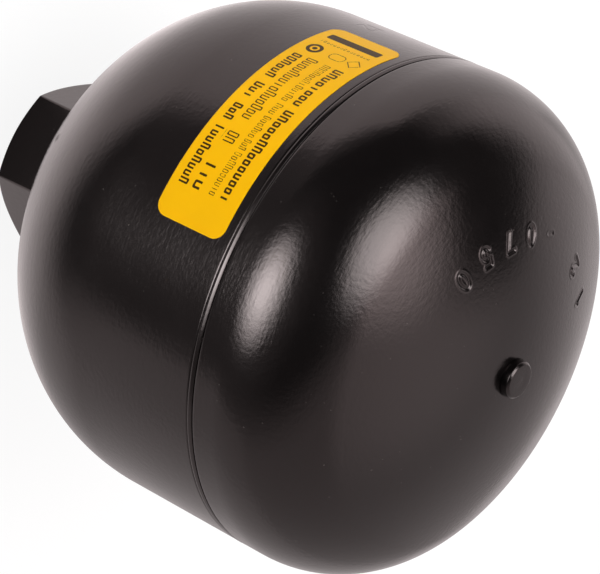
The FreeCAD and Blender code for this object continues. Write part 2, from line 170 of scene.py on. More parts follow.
print("steps of 2 with a finer window:", finer([0, 2, 4, 6, 8], [(3, 5)], 0.5).tolist())

# %% [markdown]
# ## From a grid of points to a mesh
# A grid of rows and columns becomes a mesh by joining neighbours into quads. A turned piece joins
# its last column to its first. A hollow piece also joins its last row to its first, so that
# outside and inside make one closed wall, and a solid one closes at a pole on the axis. The
# signed volume says whether the faces point outwards, and they are turned over where it is
# negative.
#
# Blender's own primitives and modifiers could make most of these pieces. A grid worked out as one
# array was chosen because its size is then exactly the CAD model's, and because any row or column
# of it can be moved by a formula.


# %% Faces of a grid
def signed_volume(points, quads, triangles):
    """The sum over all triangles of (a . (b x c)) / 6, which is positive if they face outwards."""
    corners = np.concatenate([quads[:, [0, 1, 2]], quads[:, [0, 2, 3]], triangles])
    a, b, c = (points[corners[:, k]] for k in range(3))
    return float(np.einsum("ij,ij->i", a, np.cross(b, c)).sum() / 6)


def grid_faces(rows, columns, around, along, poles):
    """Corner numbers of the quads between neighbours, and of the triangles round each pole."""
    numbers = np.arange(rows * columns).reshape(rows, columns)
    if along:
        numbers = np.vstack([numbers, numbers[:1]])
    if around:
        numbers = np.hstack([numbers, numbers[:, :1]])
    triangles = []
    if poles[0]:
        triangles.append(
            np.stack([numbers[1, 1:], numbers[1, :-1], np.zeros_like(numbers[1, 1:])], axis=-1)
        )
        numbers = numbers[1:]
    if poles[1]:
        last = np.full_like(numbers[-2, 1:], rows * columns - 1)
        triangles.append(np.stack([numbers[-2, :-1], numbers[-2, 1:], last], axis=-1))
        numbers = numbers[:-1]
    quads = np.stack(
        [numbers[:-1, :-1], numbers[:-1, 1:], numbers[1:, 1:], numbers[1:, :-1]], axis=-1
    ).reshape(-1, 4)
    triangles = np.concatenate(triangles) if triangles else np.empty((0, 3), int)
    return quads, triangles


NO_QUADS = np.empty((0, 4), int)
tetrahedron = np.array([(0, 0, 0), (1, 0, 0), (0, 1, 0), (0, 0, 1)], float)
faced_outwards = np.array([(0, 2, 1), (0, 1, 3), (0, 3, 2), (1, 2, 3)])
ring_quads, _ = grid_faces(4, 12, True, True, (False, False))
print("a tetrahedron's volume:", round(signed_volume(tetrahedron, NO_QUADS, faced_outwards), 4))
print("a closed ring of 4 by 12 points:", len(ring_quads), "quads")

# %% [markdown]
# A mesh keeps only the points that its faces use. They are given in millimetres and stored in
# metres, each in its own place, so that every object stays at the origin, unturned. Only a closed
# piece has a volume that means something, so only that is printed. A CAD node is measured in the
# same way, to compare the two.


# %% A mesh from a grid
def put_mesh(name, grid, around=True, along=False, poles=(False, False), sharp=38):
    """A mesh object from a grid of points in millimetres, and which of the points it uses."""
    rows, columns = grid.shape[:2]
    points = grid.reshape(-1, 3)
    quads, triangles = grid_faces(rows, columns, around, along, poles)
    volume = signed_volume(points, quads, triangles)
    if volume < 0:
        quads, triangles = quads[:, ::-1], triangles[:, ::-1]
    used = np.unique(np.concatenate([quads.ravel(), triangles.ravel()]))
    new_number = np.zeros(len(points), int)
    new_number[used] = np.arange(len(used))
    mesh = bpy.data.meshes.new(name)
    faces = new_number[quads].tolist() + new_number[triangles].tolist()
    mesh.from_pydata((points[used] * MM).tolist(), [], faces)
    mesh.shade_smooth()
    mesh.set_sharp_from_angle(angle=math.radians(sharp))
    made = bpy.data.objects.new(name, mesh)
    bpy.context.scene.collection.objects.link(made)
    closed = around and (along or all(poles))
    print(f"{name}: {len(used)} points, {2 * len(quads) + len(triangles)} triangles"
          + (f", {abs(volume):.0f} mm3" if closed else ""))
    return made, used


def cad_volume(node):
    """The volume in cubic millimetres of a CAD node's own mesh."""
    mesh = frame["nodes"][node].data
    mesh.calc_loop_triangles()
    points = np.zeros(3 * len(mesh.vertices))
    corners = np.zeros(3 * len(mesh.loop_triangles), np.int32)
    mesh.vertices.foreach_get("co", points)
    mesh.loop_triangles.foreach_get("vertices", corners)
    return signed_volume(points.reshape(-1, 3) / MM, NO_QUADS, corners.reshape(-1, 3))


print("all CAD nodes together:", round(sum(cad_volume(node) for node in frame["nodes"])), "mm3")

# %% [markdown]
# Turned pieces share three more helpers. One carries a half section round the axis. One measures
# how far along its section each point lies, and the last stores such a value on the mesh, where a
# material can read it.


# %% Spun sections and stored places
def spun(section, azimuths):
    """Carries a half section round the axis: (r cos a, r sin a, z) for each azimuth a."""
    angle = np.radians(azimuths)
    if section.ndim == 2:
        section = np.repeat(section[:, None], len(azimuths), axis=1)
    radius, height = section[..., 0], section[..., 1]
    return np.stack([radius * np.cos(angle), radius * np.sin(angle), height], axis=-1)


def store_vectors(made, used, name, vectors):
    """Keeps one vector for each point, which a material can read by that name."""
    attribute = made.data.attributes.new(name, "FLOAT_VECTOR", "POINT")
    values = vectors.reshape(-1, 3)[used].astype(np.float32)
    attribute.data.foreach_set("vector", values.ravel())


def spray_place(section, azimuths):
    """Where each point lies on a drum of 60 mm: its azimuth round it, its path length along it.

    A pattern that reads this place keeps its scale from skirt to crown, and can be drawn out
    round the vessel.
    """
    if section.ndim == 2:
        section = np.repeat(section[:, None], len(azimuths), axis=1)
    step = np.linalg.norm(np.diff(section, axis=0), axis=-1)
    length = np.concatenate([np.zeros((1, len(azimuths))), np.cumsum(step, axis=0)])
    angle = np.radians(azimuths)
    drum = np.broadcast_to(angle, length.shape)
    return np.stack([60 * np.cos(drum), 60 * np.sin(drum), length], axis=-1) * MM


disc = spun(np.array([(0.0, 0.0), (2.0, 0.0)]), [0, 90, 180, 270])
print("the rim of a disc in 4 columns:", (disc[1].round(2) + 0.0).tolist())

# %% [markdown]
# ## Materials from nodes
# Each finish is a Principled surface whose colour, roughness and fine relief come from noise
# nodes. Pictures could be laid on instead, but noise that reads the object's own coordinates has
# no seams and no size limit. Two small helpers keep the node code short: one adds a node and plugs
# it in, the other starts a material. Values that are the same all over a surface are set on the
# shader's own sockets.


# %% Nodes and finishes
def add_node(tree, kind, inputs=None, **settings):
    """Adds a node, sets it up, and links or sets its inputs."""
    made = tree.nodes.new(kind)
    for name, value in settings.items():
        setattr(made, name, value)
    for name, value in (inputs or {}).items():
        if isinstance(value, bpy.types.NodeSocket):
            tree.links.new(value, made.inputs[name])
        else:
            made.inputs[name].default_value = value
    return made


def new_finish(name, inputs):
    """A material with one Principled surface; returns it with its tree and that surface."""
    made = bpy.data.materials.new(name)
    made.use_nodes = True
    surface = made.node_tree.nodes["Principled BSDF"]
    for socket, value in inputs.items():
        surface.inputs[socket].default_value = value
    return made, made.node_tree, surface


print("helpers for materials:", add_node.__name__, "and", new_finish.__name__)

# %% [markdown]
# The rest of the node code is made of five steps: noise, a range mapped to another, two colours
# mixed, one sum, and a height that tilts the surface.


# %% Values, colours and relief from nodes
def noise(tree, place, scale, detail=2.0, roughness=0.5):
    """Noise between 0 and 1, with about this many waves to the metre."""
    inputs = {"Vector": place, "Scale": scale, "Detail": detail, "Roughness": roughness}
    return add_node(tree, "ShaderNodeTexNoise", inputs).outputs["Fac"]


def between(tree, value, low, high, to_low, to_high):
    """Maps a value from one range to another, and holds it at the ends."""
    inputs = {"Value": value, "From Min": low, "From Max": high}
    inputs.update({"To Min": to_low, "To Max": to_high})
    return add_node(tree, "ShaderNodeMapRange", inputs).outputs["Result"]


def mixed_colour(tree, share, first, second):
    """The first colour at share 0 and the second at share 1."""
    made = add_node(tree, "ShaderNodeMix", data_type="RGBA")
    tree.links.new(share, made.inputs[0])
    for socket, colour in ((made.inputs[6], first), (made.inputs[7], second)):
        if isinstance(colour, bpy.types.NodeSocket):
            tree.links.new(colour, socket)
        else:
            socket.default_value = (*colour, 1)
    return made.outputs[2]


def calculate(tree, operation, first, second):
    """One sum worked out from two values, or from the first alone."""
    return add_node(
        tree, "ShaderNodeMath", {0: first, 1: second}, operation=operation
    ).outputs[0]


def raise_relief(tree, surface, height, depth):
    """Plugs a height between 0 and 1 into the surface's normal, with its depth in metres."""
    inputs = {"Height": height, "Distance": depth, "Strength": 1.0}
    bump = add_node(tree, "ShaderNodeBump", inputs)
    tree.links.new(bump.outputs["Normal"], surface.inputs["Normal"])


steps = (noise, between, mixed_colour, calculate, raise_relief)
print("steps of a finish:", ", ".join(step.__name__ for step in steps))

# %% [markdown]
# ## Sprayed black paint
# Sprayed enamel is nearly black and has a soft gloss. It is never flat: it dries in a fine orange
# peel about a millimetre across, faintly drawn out round the vessel, where the steel was turned.
# The peel is what breaks up the edges of the highlights, so it goes into the relief. A few specks
# of dust are caught in it.


# %% Black paint
def black_paint(name, peel_depth):
    """Semi-gloss black: orange peel and drawn-out streaks as relief, specks as colour."""
    made, tree, surface = new_finish(name, {
        "Metallic": 0.0,
        "Specular IOR Level": 0.66,
        "Specular Tint": (1.0, 0.87, 0.86, 1.0),
    })
    place = add_node(tree, "ShaderNodeTexCoord").outputs["Object"]
    drum = add_node(tree, "ShaderNodeAttribute", attribute_name="spray_place").outputs["Vector"]
    drawn = add_node(
        tree, "ShaderNodeMapping", {"Vector": drum, "Scale": (0.16, 0.16, 1.0)}
    ).outputs["Vector"]
    peel = noise(tree, place, 900, 3.0, 0.55)
    streak = noise(tree, drawn, 2000, 3.0, 0.6)
    height = calculate(tree, "ADD", peel, calculate(tree, "MULTIPLY", streak, 0.6))
    raise_relief(tree, surface, height, peel_depth)
    cloud = noise(tree, place, 55, 3.0, 0.6)
    tree.links.new(between(tree, cloud, 0.3, 0.7, 0.15, 0.2), surface.inputs["Roughness"])
    shade = mixed_colour(tree, cloud, (0.0018, 0.0015, 0.0016), (0.003, 0.0026, 0.0026))
    speck = between(tree, noise(tree, place, 1500, 0.0), 0.872, 0.89, 0.0, 1.0)
    colour = mixed_colour(tree, speck, shade, (0.05, 0.045, 0.042))
    tree.links.new(colour, surface.inputs["Base Color"])
    return made


paint = black_paint("sprayed_black_enamel", 0.000036)
print("paint:", len(paint.node_tree.nodes), "nodes")

# %% [markdown]
# ## Steel inside
# Inside, the steel is bare: the port and the passage are turned, the button is turned and zinc
# plated. Turning leaves fine rings round the axis. The distance from the axis, with the height
# added, gives them: noise along that one number is the same all round.


# %% Turned and plated steel
def turned_metal(name, colour, roughness, rings, depth):
    """Bare metal with fine rings round the axis: noise of (distance from the axis, height)."""
    made, tree, surface = new_finish(name, {"Metallic": 1.0})
    place = add_node(tree, "ShaderNodeTexCoord").outputs["Object"]
    flat = add_node(
        tree, "ShaderNodeVectorMath", {0: place, 1: (1, 1, 0)}, operation="MULTIPLY"
    ).outputs["Vector"]
    away = add_node(tree, "ShaderNodeVectorMath", {0: flat}, operation="LENGTH").outputs["Value"]
    height = add_node(tree, "ShaderNodeSeparateXYZ", {0: place}).outputs["Z"]
    ring_place = add_node(tree, "ShaderNodeCombineXYZ", {"X": away, "Z": height}).outputs[0]
    ring = noise(tree, ring_place, rings, 3.0, 0.65)
    raise_relief(tree, surface, ring, depth)
    stain = noise(tree, place, 90, 4.0, 0.6)
    darker = tuple(0.72 * part for part in colour)
    tree.links.new(mixed_colour(tree, stain, darker, colour), surface.inputs["Base Color"])
    rough = calculate(tree, "ADD", between(tree, ring, 0.3, 0.7, -0.05, 0.07), roughness)
    tree.links.new(rough, surface.inputs["Roughness"])
    return made


turned_steel = turned_metal("bare_turned_steel", (0.5, 0.5, 0.5), 0.34, 2600, 0.00001)
plated_steel = turned_metal("zinc_plated_steel", (0.62, 0.6, 0.54), 0.28, 3200, 0.000006)
print("metals:", turned_steel.name, plated_steel.name)

# %% [markdown]
# ## The hexagon in the grid
# The oil shell and its hexagon are one forging, so they are one grid. In plan, the distance from
# the axis to a flat is a / cos(angle from the middle of the flat). At the corners the forging is
# slightly round: there the distance follows a small circle. The columns of the grid crowd
# together at the six corners. A boolean union of a prism and the dome would leave thin slivers
# where they meet, and a grid whose radius changes with the azimuth leaves none.

# %% Hexagon in plan
FLAT = 19.0
CORNER_ROUNDING = 0.6
corner_centre = (FLAT - CORNER_ROUNDING) / math.cos(math.radians(30))
corner_reach = math.degrees(math.atan2(
    CORNER_ROUNDING / 2, corner_centre + CORNER_ROUNDING * math.cos(math.radians(30))
))


def hexagon_distance(azimuths):
    """Distance from the axis to the hexagon's side.

    It is FLAT / cos(angle from the middle of the flat).  Within corner_reach of a corner it is
    d cos(p) + sqrt(r^2 - d^2 sin(p)^2), where p is the angle from the corner, r the rounding and
    d how far out the centre of the rounding lies.
    """
    from_flat = (np.asarray(azimuths) + 30) % 60 - 30
    side = FLAT / np.cos(np.radians(from_flat))
    from_corner = np.radians(30 - np.abs(from_flat))
    inside_root = np.maximum(CORNER_ROUNDING**2 - (corner_centre * np.sin(from_corner)) ** 2, 0)
    rounded = corner_centre * np.cos(from_corner) + np.sqrt(inside_root)
    return np.where(np.degrees(from_corner) < corner_reach, rounded, side)


CORNER_STEPS = np.array([-1.6, -1, -0.75, -0.5, -0.25, 0, 0.25, 0.5, 0.75, 1, 1.6])
corner_columns = [
    30 + 60 * corner + turn_by for corner in range(6) for turn_by in corner_reach * CORNER_STEPS
]
print("hexagon: corner at", round(float(hexagon_distance(30)), 3), "mm, flat at",
      round(float(hexagon_distance(0)), 3), "mm, rounding spans",
      round(2 * corner_reach, 2), "degrees")

# %% [markdown]
# ## Marks punched into the steel
# Plain numerals were punched into the gas dome with hand stamps. A stamp presses a groove and
# pushes the steel up on both sides of it, and paint softens both. So each stroke is a line, and
# the relief is a function of the distance to the nearest line: a dip in the middle and a low rim
# beside it. A bump texture could draw them too, but it would not be in the mesh. The numerals are
# drawn 5.5 mm high here, and each place scales them to its own size.


# %% Figures as lines
def ring_points(centre, across, up, start, end, count=16):
    """Points on an ellipse, from one angle to another, in degrees."""
    angle = np.radians(np.linspace(start, end, count))
    return np.stack([centre[0] + across * np.cos(angle), centre[1] + up * np.sin(angle)], axis=1)


FIGURES = {
    "0": [ring_points((0, 0), 1.6, 2.75, 0, 360, 28)],
    "1": [np.array([(-0.9, 1.7), (0.2, 2.75), (0.2, -2.75)])],
    "2": [np.concatenate([ring_points((0, 1.2), 1.55, 1.55, 165, -30),
                          [(-1.6, -2.75), (1.7, -2.75)]])],
    "5": [np.concatenate([[(1.4, 2.75), (-1.2, 2.75), (-1.4, 0.4)],
                          ring_points((0, -0.95), 1.6, 1.8, 125, -150)])],
    "7": [np.array([(-1.6, 2.75), (1.6, 2.75), (-0.5, -2.75)])],
    "-": [np.array([(-1.2, 0.0), (1.2, 0.0)])],
    "o": [ring_points((0, 0), 0.75, 0.75, 0, 360, 20)],
}


def distance_to_lines(x, y, lines):
    """Distance from each point to the nearest segment of any of the lines."""
    nearest = np.full(x.shape, 1e9)
    for line in lines:
        for (ax, ay), (bx, by) in zip(line[:-1], line[1:]):
            length = max((bx - ax) ** 2 + (by - ay) ** 2, 1e-12)
            share = np.clip(((x - ax) * (bx - ax) + (y - ay) * (by - ay)) / length, 0, 1)
            gap = np.hypot(x - ax - share * (bx - ax), y - ay - share * (by - ay))
            nearest = np.minimum(nearest, gap)
    return nearest


def punched(distance, depth, width):
    """Height of the surface at a distance from the stroke: a dip, and a rim one width out."""
    dip = -depth * np.exp(-((distance / width) ** 2))
    rim = 0.42 * depth * np.exp(-(((distance - 1.75 * width) / (0.6 * width)) ** 2))
    return dip + rim


print("figures:", " ".join(FIGURES))

# %% [markdown]
# ## The oil shell
# From outside this is a hexagon with a chamfered end, a fillet where it grows out of the crown, a
# flat crown, a wide shoulder and a straight skirt up to the weld. Crown, shoulder and skirt are
# tangent to each other, as on any drawn head, and that is what makes the reflections run smoothly
# over them. Inside come the port for a G 1/2 thread, the oil passage, the button's seat, the
# inner wall, and the ledge for the diaphragm's bead. All of it is one closed section. A Screw
# modifier could turn it, but not give it flats, so the section is worked out column by column.

# %% Columns and joints of the oil shell
CROWN_CENTRE, CROWN_RADIUS = (0.0, 99.8), 81.0
SHOULDER_CENTRE, SHOULDER_RADIUS = (13.0, 68.925), 47.5
GIRTH = 102.925
SHELL_RADIUS, WALL = 60.5, 6.5
RECESS_RADIUS, LEDGE = 56.5, 94.125
WELD_GROOVE = 0.9
join_angle = math.degrees(math.atan2(SHOULDER_CENTRE[1] - CROWN_CENTRE[1], SHOULDER_CENTRE[0]))

SHOULDER_MARK = (-61.8, -40.0)   # azimuth, and angle on the shoulder's arc
SHOULDER_MARK_RING = 49.4        # how far that mark lies from the axis
SKIRT_MARK = (-128.6, 82.3)      # azimuth, and height
oil_columns = finer(
    np.concatenate([np.arange(-180, 180, 1.5), (np.array(corner_columns) + 180) % 360 - 180]),
    [(SHOULDER_MARK[0] - 1.9, SHOULDER_MARK[0] + 1.9), (SKIRT_MARK[0] - 4.2, SKIRT_MARK[0] + 4.2)],
    0.21,
)
side = hexagon_distance(oil_columns)
level = np.zeros_like(side)
print("oil shell:", len(oil_columns), "columns; crown meets shoulder at",
      round(join_angle, 2), "degrees")

# %% [markdown]
# The fillet at the hexagon's foot has its centre one fillet radius out from the flat, and one
# fillet radius off the crown's sphere. That gives its height by Pythagoras, column by column, and
# the fillet ends where the line from its centre to the sphere's centre meets the sphere.

# %% Hexagon, fillet and crown
FACE_RADIUS, MOUTH_RADIUS = 18.0, 11.2775
ROOT_FILLET = 2.5
chamfer_height = (side - FACE_RADIUS) * math.tan(math.radians(30))
fillet_across = side + ROOT_FILLET
fillet_height = CROWN_CENTRE[1] - np.sqrt((CROWN_RADIUS + ROOT_FILLET) ** 2 - fillet_across**2)
foot_angle = np.degrees(np.arctan2(CROWN_CENTRE[1] - fillet_height, -fillet_across))
crown_start = -90 + np.degrees(np.arcsin(fillet_across / (CROWN_RADIUS + ROOT_FILLET)))


def columns_of(radius, height):
    """The same point, or a point of its own, for every column."""
    return np.stack([radius + level, height + level], axis=-1)


face_edge = columns_of(FACE_RADIUS, 0)
chamfer_edge = columns_of(side, chamfer_height)
wall_top = columns_of(side, fillet_height)
hexagon_end = np.concatenate([
    straight(columns_of(MOUTH_RADIUS, 0), columns_of(FACE_RADIUS - 0.4, 0), 4),
    eased(columns_of(MOUTH_RADIUS, 0), face_edge, chamfer_edge, 0.25),
    eased(face_edge, chamfer_edge, wall_top, 0.3, 5),
    straight(columns_of(side, chamfer_height + 0.8), wall_top, 8)[:-1],
])
share = np.linspace(0, 1, 9)[:, None]
fillet = arc((fillet_across, fillet_height), ROOT_FILLET, 180 + share * (foot_angle - 180))
share = np.linspace(0, 1, 18)[1:, None]
crown = arc(CROWN_CENTRE, CROWN_RADIUS, crown_start + share * (join_angle - crown_start))
print("fillet foot between", fillet_height.min().round(2), "and",
      fillet_height.max().round(2), "mm up")

# %% [markdown]
# Two shallow marks lie on this shell: a small ring on the shoulder, and two figures on the skirt.
# Near each mark the rows and columns are finer. A point's place beside the mark is its angle from
# it times the radius there, in millimetres.

# %% Shoulder and skirt
shoulder_angles = finer(
    np.linspace(join_angle, 0, 60)[1:], [(SHOULDER_MARK[1] - 1.7, SHOULDER_MARK[1] + 1.7)], 0.19
)[:, None]
mark_x = np.radians(oil_columns - SHOULDER_MARK[0]) * SHOULDER_MARK_RING
mark_y = np.radians(shoulder_angles - SHOULDER_MARK[1]) * SHOULDER_RADIUS
gap = distance_to_lines(mark_x + 0 * mark_y, mark_y + 0 * mark_x, FIGURES["o"])
shoulder_relief = punched(gap, depth=0.12, width=0.22)
shoulder = arc(SHOULDER_CENTRE, SHOULDER_RADIUS + shoulder_relief, shoulder_angles + level)

skirt_heights = finer(
    np.linspace(SHOULDER_CENTRE[1], 101.6, 16)[1:], [(SKIRT_MARK[1] - 3, SKIRT_MARK[1] + 3)], 0.22
)[:, None]
mark_x = np.radians(oil_columns - SKIRT_MARK[0]) * SHELL_RADIUS
mark_y = skirt_heights - SKIRT_MARK[1]
side_by_side = [
    line * 0.8 + (shift, 0) for name, shift in (("1", -1.6), ("2", 1.6)) for line in FIGURES[name]
]
gap = distance_to_lines(mark_x + 0 * mark_y, mark_y + 0 * mark_x, side_by_side)
skirt_relief = punched(gap, depth=0.05, width=0.26)
skirt = np.stack([SHELL_RADIUS + skirt_relief, skirt_heights + level], axis=-1)
print("marks are", round(float(-shoulder_relief.min()), 2), "and",
      round(float(-skirt_relief.min()), 2), "mm deep")

# %% [markdown]
# The edge of the weld groove is rounded by grinding and by the paint, and catches a thin line of
# light beside the weld.

# %% Inside of the oil shell, and the whole section
groove_edge = columns_of(SHELL_RADIUS, GIRTH - WELD_GROOVE)
groove_root = columns_of(SHELL_RADIUS - WELD_GROOVE, GIRTH)
groove = eased(skirt[-1], groove_edge, groove_root, 0.3, 5)
inner_crown_radius = CROWN_RADIUS - WALL
inner_shoulder_radius = SHOULDER_RADIUS - WALL
inner_wall_radius = SHELL_RADIUS - WALL
SEAT_RADIUS, SEAT = 17.5, 27.0
PASSAGE_RADIUS, RELIEF_RADIUS, THREAD_RADIUS = 6.0, 10.8775, 10.4775
seat_angle = -math.degrees(math.acos(SEAT_RADIUS / inner_crown_radius))
inside_runs = [
    straight((SHELL_RADIUS - WELD_GROOVE, GIRTH), (RECESS_RADIUS, GIRTH), 3),
    eased_outline(
        [(RECESS_RADIUS, GIRTH - 0.1), (RECESS_RADIUS, LEDGE), (inner_wall_radius, LEDGE),
         (inner_wall_radius, LEDGE - 1)], [0, 0.3, 0.25, 0]),
    straight((inner_wall_radius, LEDGE - 2), (inner_wall_radius, SHOULDER_CENTRE[1] + 2), 5),
    arc(SHOULDER_CENTRE, inner_shoulder_radius, np.linspace(0, join_angle, 30)),
    arc(CROWN_CENTRE, inner_crown_radius, np.linspace(join_angle, seat_angle, 10)[1:]),
    straight((SEAT_RADIUS, SEAT), (PASSAGE_RADIUS + 0.4, SEAT), 5),
    eased((SEAT_RADIUS, SEAT), (PASSAGE_RADIUS, SEAT), (PASSAGE_RADIUS, 20), 0.35),
    straight((PASSAGE_RADIUS, 25.5), (PASSAGE_RADIUS, 19.2), 4),
    eased_outline(
        [(PASSAGE_RADIUS, 19.1), (PASSAGE_RADIUS, 18.93), (RELIEF_RADIUS, 16.0),
         (RELIEF_RADIUS, 14.0), (THREAD_RADIUS, 14.0), (THREAD_RADIUS, 0.8),
         (MOUTH_RADIUS, 0.0)], [0, 0.12, 0.2, 0.12, 0.1, 0.1, 0]),
]
inside = np.concatenate(inside_runs)[:-1]
inside = np.repeat(inside[:, None], len(oil_columns), axis=1)
outside = np.concatenate([hexagon_end, fillet, crown, shoulder, skirt, groove])
oil_section = np.concatenate([outside, inside])
print("oil shell section:", len(outside), "rows outside and", len(inside), "inside")

# %% [markdown]
# The paint covers the outside only. The rows of the inside get the bare steel as a second
# material, by the number that each face carries.


# %% Build the oil shell
def paint_rows(made, quads_per_row, first, last, total):
    """Gives the faces from row first to row last the second material."""
    rows = np.arange(total) // quads_per_row
    index = ((rows >= first) & (rows < last)).astype(np.int32)
    numbers = np.zeros(len(made.data.polygons), np.int32)
    numbers[: len(index)] = index[: len(numbers)]
    made.data.polygons.foreach_set("material_index", numbers)


fluid_shell, used = put_mesh("oil_shell", spun(oil_section, oil_columns), along=True)
store_vectors(fluid_shell, used, "spray_place", spray_place(oil_section, oil_columns))
fluid_shell.data.materials.append(paint)
fluid_shell.data.materials.append(turned_steel)
paint_rows(fluid_shell, len(oil_columns), len(outside), len(oil_section) - 1,
           len(fluid_shell.data.polygons))
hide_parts("fluid_shell")
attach(fluid_shell, "shell")
print("the same shell in CAD:", round(cad_volume("fluid_shell")), "mm3")

# %% [markdown]
# ## The port's thread
# The CAD solid has a plain wall where the G 1/2 thread is cut. Here the thread's ridge is carried
# along a helix: 14 turns to the inch, flanks at 55 degrees with rounded crest, right-handed, so it
# climbs as the azimuth grows. It fades out at both ends, as a tap leaves it, which a Screw
# modifier can't do.

# %% Thread ridge along a helix
PITCH, THREAD_DEPTH = 1.814, 1.162
TURN_COUNT, START_HEIGHT = 6.7, 1.3
turns = np.linspace(0, TURN_COUNT, int(TURN_COUNT * 90))
across = np.linspace(-0.5, 0.5, 11) * PITCH
flank = np.clip(1 - (np.abs(across) / (0.5 * PITCH)) ** 1.25, 0, 1)
taper = np.clip(np.minimum(turns, TURN_COUNT - turns) / 0.25, 0, 1)[:, None]
ridge_radius = THREAD_RADIUS + 0.03 - taper * (THREAD_DEPTH + 0.03) * flank
back_radius = np.full((len(turns), 3), THREAD_RADIUS + 0.12)
radius = np.concatenate([ridge_radius, back_radius], axis=1)
offset = np.concatenate([across, np.array([0.3, 0.0, -0.3]) * PITCH])
centre_radius = THREAD_RADIUS + 0.08
radius = centre_radius + np.where(taper > 0, 1, 0) * (radius - centre_radius)
height = START_HEIGHT + PITCH * turns[:, None] + np.where(taper > 0, 1, 0) * offset
angle = 2 * np.pi * turns[:, None] + 0 * offset
helix = np.stack([radius * np.cos(angle), radius * np.sin(angle), height], axis=-1)
thread, used = put_mesh("port_thread", helix, around=True, poles=(True, True), sharp=60)
thread.data.materials.append(turned_steel)
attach(thread, "shell")
print("thread: crest at", round(float(radius.min()), 3), "mm, top at",
      round(float(height.max()), 2), "mm")

# %% [markdown]
# ## The gas shell
# The gas side is flatter: a large crown, a small shoulder and a short skirt. A spot face is cut
# for the plug at its pole. The figures are punched round the crown, their tops towards the plug.
# The grid is coarse where the dome is plain and about 0.15 mm fine where a figure is, which keeps
# the strokes crisp without filling the dome with faces.

# %% Where the figures stand
GAS_CROWN_CENTRE, GAS_CROWN_RADIUS = (0.0, 38.2565), 105.0
GAS_SHOULDER_CENTRE, GAS_SHOULDER_RADIUS = (34.5, 109.325), 26.0
STAMPS = [
    # figure, azimuth, distance from the axis in mm, tilt in degrees, as a hand sets each stamp
    ("0", -83.0, 31.7, 4), ("5", -97.4, 31.8, -4), ("7", -111.8, 31.6, 3), ("0", -126.0, 31.6, -3),
    ("-", -140.7, 32.3, 14), ("2", -170.3, 30.7, -6), ("1", 171.1, 30.6, 8),
]
gas_columns = finer(
    np.arange(-180, 180, 2.0),
    [(azimuth - 5.4, azimuth + 5.4) for _, azimuth, _, _ in STAMPS],
    0.3,
)


def crown_angle(radius):
    """Angle on the gas crown's arc at which it is that far from the axis."""
    return np.degrees(np.arccos(np.asarray(radius, float) / GAS_CROWN_RADIUS))


gas_join = math.degrees(math.atan2(
    GAS_SHOULDER_CENTRE[1] - GAS_CROWN_CENTRE[1], GAS_SHOULDER_CENTRE[0]
))
crown_radii = finer(np.linspace(4.9, 45.8, 42), [(26.8, 36.2)], 0.14)[::-1]
print("gas shell:", len(gas_columns), "columns,", len(crown_radii), "rows on the crown")

# %% [markdown]
# A point's place beside a figure is worked out in the figure's own units: round the ring it is the
# angle times the ring's radius, and towards the plug it is how far inside the ring the point lies.
# Turning that place by the tilt turns the figure. Only points near a figure are worked out, because
# the distances to the strokes take most of the time.

# %% Relief of the figures
FIGURE_SIZE = 0.73
FIGURE_DEPTH, DASH_DEPTH, STROKE = 0.25, 0.1, 0.36
radius_grid = crown_radii[:, None] + 0 * gas_columns
azimuth_grid = gas_columns + 0 * crown_radii[:, None]
stamp_relief = np.zeros_like(radius_grid)
for figure, azimuth, ring, tilt in STAMPS:
    turned = (azimuth_grid - azimuth + 180) % 360 - 180
    x = np.radians(turned) * ring / FIGURE_SIZE
    y = (ring - radius_grid) / FIGURE_SIZE
    near = (np.abs(x) < 4.5) & (np.abs(y) < 4.5)
    c, s = math.cos(math.radians(tilt)), math.sin(math.radians(tilt))
    gap = distance_to_lines((c * x + s * y)[near], (c * y - s * x)[near], FIGURES[figure])
    depth = DASH_DEPTH if figure == "-" else FIGURE_DEPTH
    stamp_relief[near] += punched(gap * FIGURE_SIZE, depth, STROKE)
print("deepest stroke", round(float(-stamp_relief.min()), 2), "mm, highest rim",
      round(float(stamp_relief.max()), 2), "mm")

# %% [markdown]
# The section starts at the weld groove, runs over shoulder and crown, down the spot face and the
# plug's hole, and back along the inside. The rows of the crown differ from column to column by the
# relief. All other runs are repeated for each column.

# %% Section of the gas shell
gas_level = np.zeros(len(gas_columns))
GAS_POLE = GAS_CROWN_CENTRE[1] + GAS_CROWN_RADIUS
SPOT_RADIUS, SPOT_HEIGHT, HOLE_RADIUS = 4.55, GAS_POLE - 0.25, 2.55
SPOT_ROWS = 10   # the rows of the spot face, which is painted up to the edge of its hole
RECESS_TOP = 107.125


def every_gas_column(run):
    """Repeats a run of points for each column."""
    return np.repeat(np.asarray(run, float)[:, None], len(gas_columns), axis=1)


gas_outside = np.concatenate([
    every_gas_column(eased((SHELL_RADIUS - WELD_GROOVE, GIRTH), (SHELL_RADIUS, GIRTH + WELD_GROOVE),
                           (SHELL_RADIUS, 108), 0.3, 5)),
    every_gas_column(straight((SHELL_RADIUS, GIRTH + 1.5), (SHELL_RADIUS, 109.2), 6)),
    every_gas_column(arc(GAS_SHOULDER_CENTRE, GAS_SHOULDER_RADIUS, np.linspace(0, gas_join, 40))),
    arc(GAS_CROWN_CENTRE, GAS_CROWN_RADIUS + stamp_relief,
        crown_angle(crown_radii)[:, None] + gas_level),
])
spot_rim = GAS_CROWN_CENTRE[1] + math.sqrt(GAS_CROWN_RADIUS**2 - SPOT_RADIUS**2)
inner_gas_crown = GAS_CROWN_RADIUS - WALL
inner_gas_pole = GAS_CROWN_CENTRE[1] + math.sqrt(inner_gas_crown**2 - HOLE_RADIUS**2)
